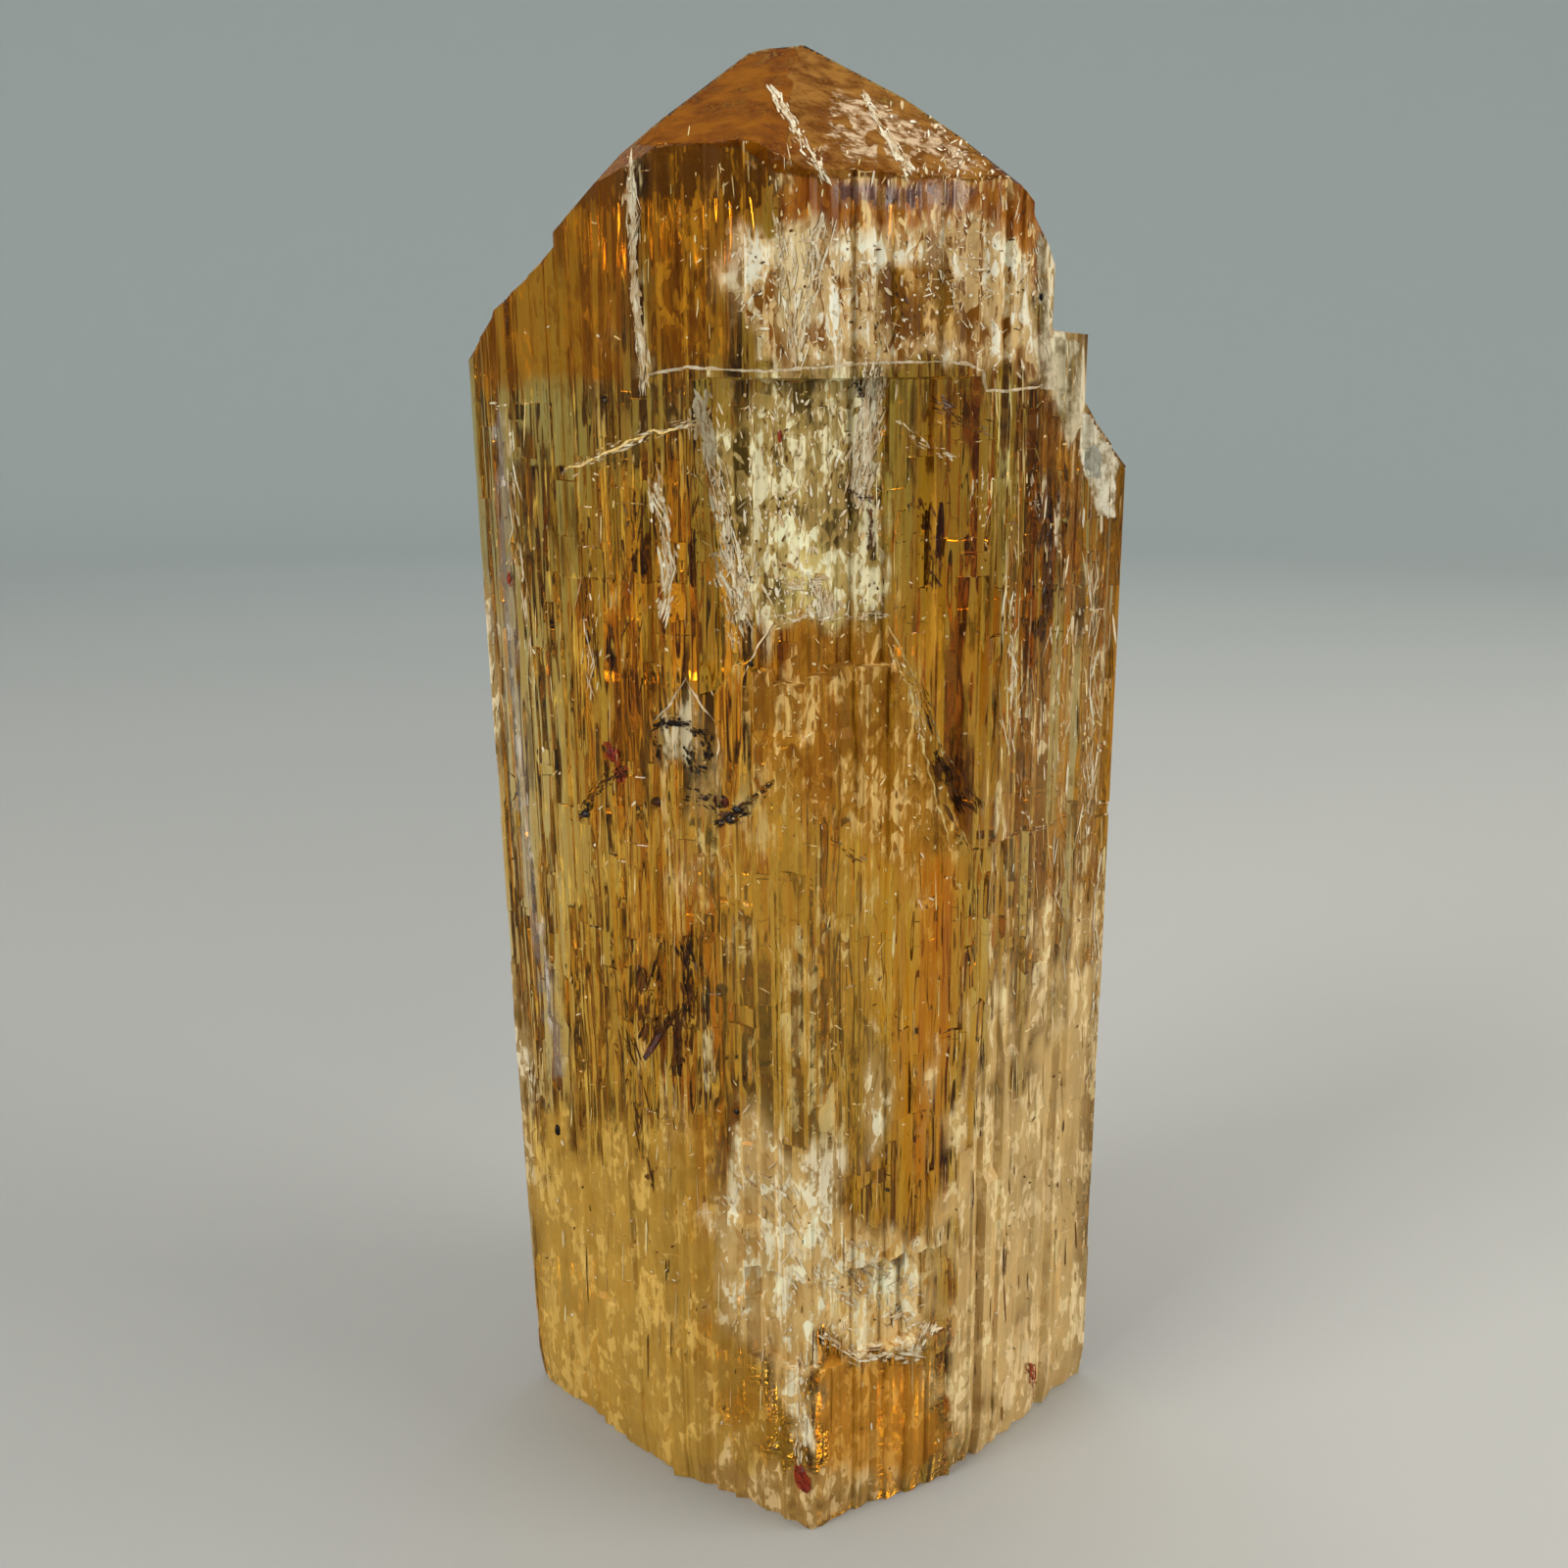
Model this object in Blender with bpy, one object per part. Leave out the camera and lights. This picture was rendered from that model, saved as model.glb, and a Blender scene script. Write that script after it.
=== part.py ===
"""A rough topaz crystal: one striated orthorhombic prism with a sloping, stepped
termination, and smaller crystals grown against its right side.

Metres, +Z up. The crystal stands on its flat basal cleavage at z = 0, the long
(c) axis is Z, and the obtuse front edge of the prism points towards -Y.
"""

import math
import random

import bmesh
import bpy
import numpy as np
from mathutils import Vector

MM = 0.001

# Prism: the obtuse front and back edges, the acute side edges, and the edges between them
HALF_DEPTH = 6.55 * MM
HALF_WIDTH = 8.28 * MM
EDGE_X = 3.85 * MM
EDGE_Y = 4.5 * MM
BASE_INSET = 0.3 * MM  # how far the left edge leans in from WAIST down to the base
WAIST = 25.0 * MM
LEAN_AT_BASE = 0.12 * MM  # the axis leans this far to the right at the base
LEAN_PER_HEIGHT = -0.01
CHAMFER = 0.12 * MM
CHAMFER_TOP = 0.9 * MM
BLANK_TOP = 37.0 * MM

# Striation: vertical strips of the prism faces, each a little higher or lower than the next
STRIP_WIDTHS = (0.3 * MM, 1.0 * MM)
STRIP_DEPTH = 0.17 * MM
RISER = 0.06 * MM
BREAK_HEIGHTS = [h * MM for h in (3.4, 8.6, 12.4, 16.3, 20.6, 26.2, 31.0)]
BREAK_JITTER = 0.9 * MM
BREAK_CHANCE = 0.4
BREAK_RUN = 0.25 * MM
SEED = 11

# Steps where part of the prism ends early: direction it lies in (degrees), how far out
# it starts, the height of its top there, and how steeply that top falls away outwards
STEPS = {
    "right knob": (0, 6.75 * MM, 27.9 * MM, 1.2),
    "flat side crystal": (0, 5.75 * MM, 29.55 * MM, 0.04),
    "left knob": (180, 7.45 * MM, 30.0 * MM, 1.3),
    "left shoulder": (180, 5.75 * MM, 31.35 * MM, 0.76),
    "rounded side crystal": (0, 5.1 * MM, 32.1 * MM, 1.6),
}
STEP_RUN = 0.06 * MM

# Recess broken into the front face: its sides, its flat top, and the gable-shaped foot below it
RECESS_SIDES = (-2.2 * MM, 3.9 * MM)
RECESS_TOP = 28.6 * MM
RECESS_DEPTH = 0.42 * MM
GABLE = {-2.2: 21.6, -0.9: 23.5, 1.9: 23.5, 3.9: 17.6}  # x to z, in millimetres

# Chip out of the front edge near the foot
CHIP_SIDES = (-1.5 * MM, 3.3 * MM)
CHIP_FOOT = 4.6 * MM
CHIP_TOP = 7.2 * MM
CHIP_DEPTH = 0.3 * MM

# Termination faces: direction they face (degrees), a point they pass through, and their slope
TERMINATION = {
    "front right": (297.8, (1.6, -5.65, 32.6), 0.574),
    "front left": (242.2, (-2.4, -5.2, 33.25), 0.47),
    "back right": (62.2, (1.6, 5.6, 32.9), 0.59),
    "back left": (117.8, (-2.0, 5.5, 32.6), 0.76),
    "left upper": (190.0, (-3.8, -4.5, 33.35), 0.79),
    "left lower": (190.0, (-3.8, -4.5, 33.35), 1.056),
    "right upper": (0.0, (0.45, 0.0, 35.8), 0.6),
    "right lower": (0.0, (4.86, 0.0, 32.55), 0.83),
    "left rim": (208.0, (-3.3, -4.4, 33.35), 0.86),
    "right rim": (335.0, (4.3, -3.5, 32.85), 0.72),
}

COLOUR = (0.78, 0.42, 0.10, 1.0)
ROUGHNESS = 0.12


def clear_scene():
    for obj in list(bpy.data.objects):
        bpy.data.objects.remove(obj, do_unlink=True)


def facing(degrees):
    return np.array([math.cos(math.radians(degrees)), math.sin(math.radians(degrees))])


def prism_corners(z):
    """The eight prism edges at height z, counterclockwise from the front edge."""
    inset = BASE_INSET * max(0.0, 1.0 - z / WAIST)
    lean = LEAN_AT_BASE + LEAN_PER_HEIGHT * z
    chamfer = CHAMFER * max(0.0, 1.0 - z / CHAMFER_TOP)
    corners = [
        (0.1 * MM, -HALF_DEPTH),
        (EDGE_X + 0.1 * MM, -EDGE_Y),
        (HALF_WIDTH, 0.0),
        (EDGE_X - 0.2 * MM, EDGE_Y + 0.1 * MM),
        (-0.2 * MM, HALF_DEPTH - 0.05 * MM),
        (-EDGE_X - 0.1 * MM + inset / 2, EDGE_Y),
        (-HALF_WIDTH + inset, 0.0),
        (-EDGE_X + inset / 2, -EDGE_Y),
    ]
    axis = np.array([lean, 0.0])
    return [axis + np.array(c) * (1.0 - chamfer / np.linalg.norm(c)) for c in corners]


def striation(rng):
    """Where the strips lie: the prism face, the place along it and the strip of each point round it."""
    faces, places, strips = [], [], []
    corners = prism_corners(WAIST)
    strip = 0
    for face in range(8):
        length = np.linalg.norm(corners[(face + 1) % 8] - corners[face])
        edges = [0.0]
        while edges[-1] < length - STRIP_WIDTHS[1]:
            edges.append(edges[-1] + rng.uniform(*STRIP_WIDTHS))
        edges.append(length)
        for start, end in zip(edges, edges[1:]):
            for place in (start + RISER / 2, end - RISER / 2):
                faces.append(face)
                places.append(place / length)
                strips.append(strip)
            strip += 1
    return np.array(faces), np.array(places), np.array(strips)


class Column:
    """The prism as rings of points, from the base up, with what is cut away as it rises."""

    def __init__(self, rng):
        self.faces, self.places, self.strips = striation(rng)
        self.rng = rng
        self.depth = self.strip_values(lambda: rng.uniform(0.0, STRIP_DEPTH))
        self.cuts = []
        self.rings = []

    def strip_values(self, draw):
        values = np.array([draw() for _ in range(self.strips.max() + 1)])
        return values[self.strips]

    def outline(self, heights, depth):
        points = np.empty((len(heights), 2))
        for i, z in enumerate(heights):
            corners = prism_corners(z)
            start, end = corners[self.faces[i]], corners[(self.faces[i] + 1) % 8]
            points[i] = start + (end - start) * self.places[i]
        points *= (1.0 - depth / np.linalg.norm(points, axis=1))[:, None]
        for direction, reach in self.cuts:
            out = points @ direction
            points *= np.where(out > reach, reach / np.maximum(out, reach), 1.0)[:, None]
        return points

    def ring(self, heights, depth=None):
        heights = np.broadcast_to(heights, self.faces.shape).astype(float)
        points = self.outline(heights, self.depth if depth is None else depth)
        self.rings.append((points, heights))

    def striae_end(self, height):
        """Some strips end near this height, and carry on a little higher or lower."""
        heights = height + self.strip_values(lambda: self.rng.uniform(-BREAK_JITTER, BREAK_JITTER))
        changes = self.strip_values(lambda: self.rng.random() < BREAK_CHANCE)
        fresh = self.strip_values(lambda: self.rng.uniform(0.0, STRIP_DEPTH))
        self.ring(heights)
        self.depth = np.where(changes, fresh, self.depth)
        self.ring(heights + BREAK_RUN)

    def step(self, degrees, reach, top, slope):
        """The prism beyond reach ends here, under a top that falls away outwards."""
        direction = facing(degrees)
        out = self.outline(np.full(len(self.faces), top), self.depth) @ direction
        level = np.where(out > reach, top, np.maximum(top, self.rings[-1][1] + STEP_RUN))
        self.ring(level - slope * np.maximum(out - reach, 0.0))
        self.cuts.append((direction, reach))
        self.ring(level + STEP_RUN)

    def hollow(self, low, high, sides, depth):
        """A part of the front face that lies deeper, between the heights low and high."""
        x, y = self.outline(np.full(len(self.faces), WAIST), self.depth).T
        inside = (x > sides[0]) & (x < sides[1]) & (y < 0)
        foot = np.interp(x, list(low), list(low.values())) if isinstance(low, dict) else low
        deeper = self.depth + inside * depth
        self.ring(foot)
        self.ring(foot + STEP_RUN, deeper)
        return lambda: (self.ring(high - STEP_RUN, deeper), self.ring(high))

    def settle(self):
        """Each ring stays under the next, all the way round."""
        for below, above in zip(self.rings[-2::-1], self.rings[:0:-1]):
            below[1][:] = np.minimum(below[1], above[1] - STEP_RUN / 2)


def build_column(rng):
    column = Column(rng)
    gable = {x * MM: z * MM for x, z in GABLE.items()}
    breaks = iter(BREAK_HEIGHTS)
    column.ring(0.0)
    column.ring(CHAMFER_TOP)
    column.striae_end(next(breaks))
    close_chip = column.hollow(CHIP_FOOT, CHIP_TOP, CHIP_SIDES, CHIP_DEPTH)
    close_chip()
    for _ in range(4):
        column.striae_end(next(breaks))
    close_recess = column.hollow(gable, RECESS_TOP, RECESS_SIDES, RECESS_DEPTH)
    close_recess()
    for direction, reach, top, slope in STEPS.values():
        column.step(direction, reach, top, slope)
    column.ring(BLANK_TOP)
    column.settle()
    return column.rings


def rings_to_mesh(rings):
    """A closed mesh through the rings, with the first and last one filled."""
    bm = bmesh.new()
    loops = [[bm.verts.new((x, y, z)) for (x, y), z in zip(points, heights)] for points, heights in rings]
    count = len(loops[0])
    for below, above in zip(loops, loops[1:]):
        for i in range(count):
            j = (i + 1) % count
            bm.faces.new((below[i], below[j], above[j], above[i]))
    bm.faces.new(loops[0][::-1])
    bm.faces.new(loops[-1])
    bmesh.ops.triangulate(bm, faces=bm.faces[:])
    return bm


def cut_termination(bm):
    for degrees, point, slope in TERMINATION.values():
        x, y = facing(degrees)
        normal = Vector((x * slope, y * slope, 1.0)).normalized()
        geometry = bm.verts[:] + bm.edges[:] + bm.faces[:]
        bmesh.ops.bisect_plane(
            bm, geom=geometry, dist=1e-7, plane_co=Vector(point) * MM, plane_no=normal, clear_outer=True
        )
        rim = [edge for edge in bm.edges if edge.is_boundary]
        filled = bmesh.ops.edgenet_fill(bm, edges=rim)
        bmesh.ops.triangulate(bm, faces=filled["faces"])


def material():
    topaz = bpy.data.materials.new("orange topaz")
    topaz.use_nodes = True
    shader = topaz.node_tree.nodes["Principled BSDF"]
    shader.inputs["Base Color"].default_value = COLOUR
    shader.inputs["Roughness"].default_value = ROUGHNESS
    shader.inputs["Metallic"].default_value = 0.0
    shader.inputs["Transmission Weight"].default_value = 0.8
    shader.inputs["IOR"].default_value = 1.62
    return topaz


def main():
    clear_scene()
    bm = rings_to_mesh(build_column(random.Random(SEED)))
    cut_termination(bm)
    bmesh.ops.recalc_face_normals(bm, faces=bm.faces[:])
    mesh = bpy.data.meshes.new("topaz_crystal")
    bm.to_mesh(mesh)
    bm.free()
    mesh.materials.append(material())
    crystal = bpy.data.objects.new("topaz_crystal", mesh)
    bpy.context.scene.collection.objects.link(crystal)


main()
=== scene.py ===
"""The looks of a rough golden-orange topaz crystal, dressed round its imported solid.

Metres, +Z up. The crystal stands on its base at z = 0, and the obtuse front edge faces -Y.
"""

import math
import random

import bmesh
import bpy
import mathutils
import mathutils.bvhtree
import mathutils.noise
import numpy as np
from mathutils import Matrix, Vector


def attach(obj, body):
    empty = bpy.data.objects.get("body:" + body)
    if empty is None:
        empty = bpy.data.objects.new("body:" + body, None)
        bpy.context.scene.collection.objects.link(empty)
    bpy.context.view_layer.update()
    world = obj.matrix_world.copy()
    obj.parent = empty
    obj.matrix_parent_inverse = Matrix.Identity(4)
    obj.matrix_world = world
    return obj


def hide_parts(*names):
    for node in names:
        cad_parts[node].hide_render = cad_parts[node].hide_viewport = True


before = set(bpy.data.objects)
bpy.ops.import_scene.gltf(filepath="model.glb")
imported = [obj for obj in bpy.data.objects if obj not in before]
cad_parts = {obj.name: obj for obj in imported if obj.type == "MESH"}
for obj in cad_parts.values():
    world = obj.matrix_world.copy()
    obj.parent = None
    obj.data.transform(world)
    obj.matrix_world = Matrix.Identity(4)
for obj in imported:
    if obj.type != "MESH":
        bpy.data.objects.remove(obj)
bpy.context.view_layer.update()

MM = 0.001
NODE = "topaz_crystal"

# Camera: a phone's close-up, 40 mm in front of the crystal and looking down on it a little
CAMERA_PLACE = (-0.5 * MM, -40.0 * MM, 29.24 * MM)
CAMERA_DOWN = 15.6
LENS = 36.0
SENSOR = 36.0
PIXELS = 1600
FOCAL_PIXELS = PIXELS * LENS / SENSOR

# The solid's own driving dimensions
HALF_DEPTH = 6.55 * MM
HALF_WIDTH = 8.28 * MM
EDGE_X = 3.85 * MM
EDGE_Y = 4.5 * MM
BASE_INSET = 0.3 * MM
WAIST = 25.0 * MM
LEAN_AT_BASE = 0.12 * MM
LEAN_PER_HEIGHT = -0.01
CHAMFER = 0.12 * MM
CHAMFER_TOP = 0.9 * MM
BLANK_TOP = 37.0 * MM
STRIP_WIDTHS = (0.3 * MM, 1.0 * MM)
STRIP_DEPTH = 0.17 * MM
RISER = 0.06 * MM
BREAK_HEIGHTS = [h * MM for h in (3.4, 8.6, 12.4, 16.3, 20.6, 26.2, 31.0)]
BREAK_JITTER = 0.9 * MM
BREAK_CHANCE = 0.4
BREAK_RUN = 0.25 * MM
SEED = 11
STEPS = {
    "right knob": (0, 6.75 * MM, 27.9 * MM, 1.2),
    "flat side crystal": (0, 5.75 * MM, 29.55 * MM, 0.04),
    "left knob": (180, 7.45 * MM, 30.0 * MM, 1.3),
    "left shoulder": (180, 5.75 * MM, 31.35 * MM, 0.76),
    "rounded side crystal": (0, 5.1 * MM, 32.1 * MM, 1.6),
}
STEP_RUN = 0.06 * MM
UNDER_STEP = 1.2 * MM  # plain rings end this far under the top of a step
RECESS_SIDES = (-2.2 * MM, 3.9 * MM)
RECESS_TOP = 28.6 * MM
RECESS_DEPTH = 0.42 * MM
GABLE = {-2.2: 21.6, -0.9: 23.5, 1.9: 23.5, 3.9: 17.6}
CHIP_SIDES = (-1.5 * MM, 3.3 * MM)
CHIP_FOOT = 4.6 * MM
CHIP_TOP = 7.2 * MM
CHIP_DEPTH = 0.3 * MM
TERMINATION = {
    "front right": (297.8, (1.6, -5.65, 32.6), 0.574),
    "front left": (242.2, (-2.4, -5.2, 33.25), 0.47),
    "back right": (62.2, (1.6, 5.6, 32.9), 0.59),
    "back left": (117.8, (-2.0, 5.5, 32.6), 0.76),
    "left upper": (190.0, (-3.8, -4.5, 33.35), 0.79),
    "left lower": (190.0, (-3.8, -4.5, 33.35), 1.056),
    "right upper": (0.0, (0.45, 0.0, 35.8), 0.6),
    "right lower": (0.0, (4.86, 0.0, 32.55), 0.83),
    "left rim": (208.0, (-3.3, -4.4, 33.35), 0.86),
    "right rim": (335.0, (4.3, -3.5, 32.85), 0.72),
}

# Fine striae: narrow facets that line the strips, turned a little either way, and ledges where they end
FACET_WIDTHS = (0.045 * MM, 0.42 * MM)
BACK_WIDER = 1.6
FACET_TURN = math.tan(math.radians(21.0))
BACK_TURN = math.tan(math.radians(27.0))
FINE_RELIEF = 0.055 * MM
BACK_RELIEF = 0.07 * MM
LEVEL_STEP = 0.6 * MM
LEVEL_JITTER = 0.22 * MM
LEDGE_RUN = 0.025 * MM
LEDGE_CHANCE = 0.3


def facing(degrees):
    return np.array([math.cos(math.radians(degrees)), math.sin(math.radians(degrees))])


def prism_corners(z):
    """The eight prism edges at height z, counterclockwise from the front edge."""
    inset = BASE_INSET * max(0.0, 1.0 - z / WAIST)
    lean = LEAN_AT_BASE + LEAN_PER_HEIGHT * z
    chamfer = CHAMFER * max(0.0, 1.0 - z / CHAMFER_TOP)
    corners = [
        (0.1 * MM, -HALF_DEPTH),
        (EDGE_X + 0.1 * MM, -EDGE_Y),
        (HALF_WIDTH, 0.0),
        (EDGE_X - 0.2 * MM, EDGE_Y + 0.1 * MM),
        (-0.2 * MM, HALF_DEPTH - 0.05 * MM),
        (-EDGE_X - 0.1 * MM + inset / 2, EDGE_Y),
        (-HALF_WIDTH + inset, 0.0),
        (-EDGE_X + inset / 2, -EDGE_Y),
    ]
    axis = np.array([lean, 0.0])
    return [axis + np.array(c) * (1.0 - chamfer / np.linalg.norm(c)) for c in corners]


def facet_places(low, high, widest, rng):
    """Places across a strip where its facets meet."""
    places = [low]
    while places[-1] < high - widest:
        places.append(places[-1] + FACET_WIDTHS[0] + (widest - FACET_WIDTHS[0]) * rng.random() ** 2.5)
    return places + [high]


def striation(rng, fine):
    """The strips of the solid, each with its facets: face, place along it and strip of each point."""
    faces, places, strips = [], [], []
    corners = prism_corners(WAIST)
    strip = 0
    for face in range(8):
        length = np.linalg.norm(corners[(face + 1) % 8] - corners[face])
        widest = FACET_WIDTHS[1] * (BACK_WIDER if 2 <= face < 6 else 1.0)
        edges = [0.0]
        while edges[-1] < length - STRIP_WIDTHS[1]:
            edges.append(edges[-1] + rng.uniform(*STRIP_WIDTHS))
        edges.append(length)
        for start, end in zip(edges, edges[1:]):
            for place in facet_places(start + RISER / 2, end - RISER / 2, widest, fine):
                faces.append(face)
                places.append(place)
                strips.append(strip)
            strip += 1
    return np.array(faces), np.array(places), np.array(strips)


class Column:
    """The prism as rings of points, from the base up, with what is cut away as it rises."""

    def __init__(self, rng, fine):
        self.faces, along, self.strips = striation(rng, fine)
        corners = prism_corners(WAIST)
        lengths = np.array([np.linalg.norm(corners[(f + 1) % 8] - corners[f]) for f in range(8)])
        self.places = along / lengths[self.faces]
        self.along = along
        self.rng = rng
        self.fine_rng = fine
        self.depth = self.strip_values(lambda: rng.uniform(0.0, STRIP_DEPTH))
        self.fine = np.zeros(len(along))
        self.turn_facets(chance=1.0)
        self.cuts = []
        self.rings = []

    def turn_facets(self, chance):
        """New facets on some strips: each next one turns towards one side or the other."""
        for strip in range(self.strips.max() + 1):
            if self.fine_rng.random() > chance:
                continue
            members = np.flatnonzero(self.strips == strip)
            at_back = 2 <= self.faces[members[0]] < 6
            turn, relief = (BACK_TURN, BACK_RELIEF) if at_back else (FACET_TURN, FINE_RELIEF)
            level = self.fine_rng.uniform(0.0, relief)
            for before, i in zip([None, *members], members):
                if before is not None:
                    rise = (self.along[i] - self.along[before]) * turn * self.fine_rng.choice((-1, 1))
                    level = abs(level + rise)
                    if level > relief:
                        level -= 2 * abs(rise)
                self.fine[i] = abs(level)

    def strip_values(self, draw):
        values = np.array([draw() for _ in range(self.strips.max() + 1)])
        return values[self.strips]

    def outline(self, heights, depth):
        points = np.empty((len(heights), 2))
        corner_cache = {}
        for i, z in enumerate(heights):
            if z not in corner_cache:
                corner_cache[z] = prism_corners(z)
            corners = corner_cache[z]
            start, end = corners[self.faces[i]], corners[(self.faces[i] + 1) % 8]
            points[i] = start + (end - start) * self.places[i]
        points *= (1.0 - depth / np.linalg.norm(points, axis=1))[:, None]
        for direction, reach in self.cuts:
            out = points @ direction
            points *= np.where(out > reach, reach / np.maximum(out, reach), 1.0)[:, None]
        return points

    def ring(self, heights, depth=None):
        heights = np.broadcast_to(heights, self.faces.shape).astype(float)
        base = self.depth if depth is None else depth
        self.rings.append((self.outline(heights, base + self.fine), heights))

    def plain_rings(self, top, depth=None):
        """Rings at even heights up to near top, where facets end in small ledges and others begin."""
        bottom = float(np.median(self.rings[-1][1]))
        count = int((top - bottom) / LEVEL_STEP)
        for level in np.linspace(bottom, top, count + 2)[1:-1] if count > 0 else ():
            jitter = self.strip_jitter()
            self.ring(level + jitter, depth)
            self.turn_facets(LEDGE_CHANCE)
            self.ring(level + jitter + LEDGE_RUN, depth)

    def strip_jitter(self):
        draws = [self.fine_rng.uniform(-LEVEL_JITTER, LEVEL_JITTER) for _ in range(self.strips.max() + 1)]
        return np.array(draws)[self.strips]

    def striae_end(self, height):
        """Some strips end near this height, and carry on a little higher or lower."""
        heights = height + self.strip_values(lambda: self.rng.uniform(-BREAK_JITTER, BREAK_JITTER))
        changes = self.strip_values(lambda: self.rng.random() < BREAK_CHANCE)
        fresh = self.strip_values(lambda: self.rng.uniform(0.0, STRIP_DEPTH))
        self.plain_rings(height - BREAK_JITTER)
        self.ring(heights)
        self.depth = np.where(changes, fresh, self.depth)
        self.ring(heights + BREAK_RUN)

    def step(self, degrees, reach, top, slope):
        """The prism beyond reach ends here, under a top that falls away outwards."""
        direction = facing(degrees)
        out = self.outline(np.full(len(self.faces), top), self.depth) @ direction
        self.plain_rings(top - UNDER_STEP)
        level = np.where(out > reach, top, np.maximum(top, self.rings[-1][1] + STEP_RUN))
        self.ring(level - slope * np.maximum(out - reach, 0.0))
        self.cuts.append((direction, reach))
        self.ring(level + STEP_RUN)

    def hollow(self, low, high, sides, depth):
        """A part of the front face that lies deeper, between the heights low and high."""
        x, y = self.outline(np.full(len(self.faces), WAIST), self.depth).T
        inside = (x > sides[0]) & (x < sides[1]) & (y < 0)
        foot = np.interp(x, list(low), list(low.values())) if isinstance(low, dict) else low
        deeper = self.depth + inside * depth
        self.plain_rings(float(np.min(foot)))
        self.ring(foot)
        self.ring(foot + STEP_RUN, deeper)
        self.plain_rings(high - STEP_RUN, deeper)
        self.ring(high - STEP_RUN, deeper)
        self.ring(high)

    def settle(self):
        """Each ring stays under the next, all the way round."""
        for below, above in zip(self.rings[-2::-1], self.rings[:0:-1]):
            below[1][:] = np.minimum(below[1], above[1] - LEDGE_RUN / 2)


def build_column():
    column = Column(random.Random(SEED), random.Random(SEED + 1))
    gable = {x * MM: z * MM for x, z in GABLE.items()}
    breaks = iter(BREAK_HEIGHTS)
    column.ring(0.0)
    column.ring(CHAMFER_TOP)
    column.striae_end(next(breaks))
    column.hollow(CHIP_FOOT, CHIP_TOP, CHIP_SIDES, CHIP_DEPTH)
    for _ in range(4):
        column.striae_end(next(breaks))
    column.hollow(gable, RECESS_TOP, RECESS_SIDES, RECESS_DEPTH)
    for direction, reach, top, slope in STEPS.values():
        column.step(direction, reach, top, slope)
    column.plain_rings(BLANK_TOP)
    column.ring(BLANK_TOP)
    column.settle()
    return column.rings


def rings_to_mesh(rings):
    """A closed mesh through the rings, with the first and last one filled."""
    count = len(rings[0][0])
    verts = np.concatenate([np.column_stack([points, heights]) for points, heights in rings])
    faces = []
    around = np.arange(count)
    after = (around + 1) % count
    for level in range(len(rings) - 1):
        low, high = level * count, (level + 1) * count
        faces.append(np.column_stack([low + around, low + after, high + after, high + around]))
    quads = np.concatenate(faces)
    mesh = bpy.data.meshes.new("crystal")
    top = (len(rings) - 1) * count
    polygons = [list(map(int, q)) for q in quads]
    polygons.append(list(range(count))[::-1])
    polygons.append(list(range(top, top + count)))
    mesh.from_pydata(verts.tolist(), [], polygons)
    bm = bmesh.new()
    bm.from_mesh(mesh)
    bpy.data.meshes.remove(mesh)
    return bm


def cut_termination(bm):
    for degrees, point, slope in TERMINATION.values():
        x, y = facing(degrees)
        normal = Vector((x * slope, y * slope, 1.0)).normalized()
        geometry = bm.verts[:] + bm.edges[:] + bm.faces[:]
        bmesh.ops.bisect_plane(
            bm, geom=geometry, dist=1e-7, plane_co=Vector(point) * MM, plane_no=normal, clear_outer=True
        )
        rim = [edge for edge in bm.edges if edge.is_boundary]
        filled = bmesh.ops.edgenet_fill(bm, edges=rim)
        bmesh.ops.triangulate(bm, faces=filled["faces"])


def link(name, mesh, material, body="root"):
    piece = bpy.data.objects.new(name, mesh)
    bpy.context.scene.collection.objects.link(piece)
    mesh.materials.append(material)
    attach(piece, body)
    return piece


class Nodes:
    """A new material, with short ways to add nodes and to set or link their inputs."""

    def __init__(self, name):
        self.material = bpy.data.materials.new(name)
        self.material.use_nodes = True
        self.tree = self.material.node_tree
        self.tree.nodes.clear()
        self.out = self.tree.nodes.new("ShaderNodeOutputMaterial")

    def add(self, kind, **inputs):
        """A node, with its inputs by name, where _ stands for a space."""
        node = self.tree.nodes.new(kind)
        for name, value in inputs.items():
            self.set(node.inputs[name.replace("_", " ")], value)
        return node

    def set(self, socket, value):
        """Link another node's output to a socket, or set it to a constant."""
        if isinstance(value, bpy.types.NodeSocket):
            self.tree.links.new(value, socket)
        elif socket.type == "RGBA":
            socket.default_value = (*value, 1.0)
        else:
            socket.default_value = value

    def surface(self, **inputs):
        """Give the material its shader."""
        shader = self.add("ShaderNodeBsdfPrincipled", **inputs)
        self.set(self.out.inputs["Surface"], shader.outputs["BSDF"])
        return self.material


# Noise and blending
NOISE_SHIFT = (7.31, -3.17, 1.93)  # how far each seed moves the noise


def noise(x, y, z, scale=1.0, seed=0):
    """Smooth noise from about -1 to 1."""
    shift_x, shift_y, shift_z = (along * seed for along in NOISE_SHIFT)
    return mathutils.noise.noise(Vector((x * scale + shift_x, y * scale + shift_y, z * scale + shift_z)))


def smooth(edge0, edge1, value):
    t = np.clip((value - edge0) / (edge1 - edge0), 0.0, 1.0)
    return t * t * (3.0 - 2.0 * t)


LIT = 0.85  # how bright a white vertical face is under the lights
PALEST = 0.96


def paint(red, green, blue):
    """The base colour that shows as this colour, 0 to 255 on screen, on a lit vertical face."""
    wanted = [((c / 255 + 0.055) / 1.055) ** 2.4 / LIT for c in (red, green, blue)]
    return tuple(c * min(1.0, PALEST / max(wanted)) for c in wanted)


# The camera's view of the object, in both directions
TILT = math.radians(CAMERA_DOWN)
EYE = np.array(CAMERA_PLACE)


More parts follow.
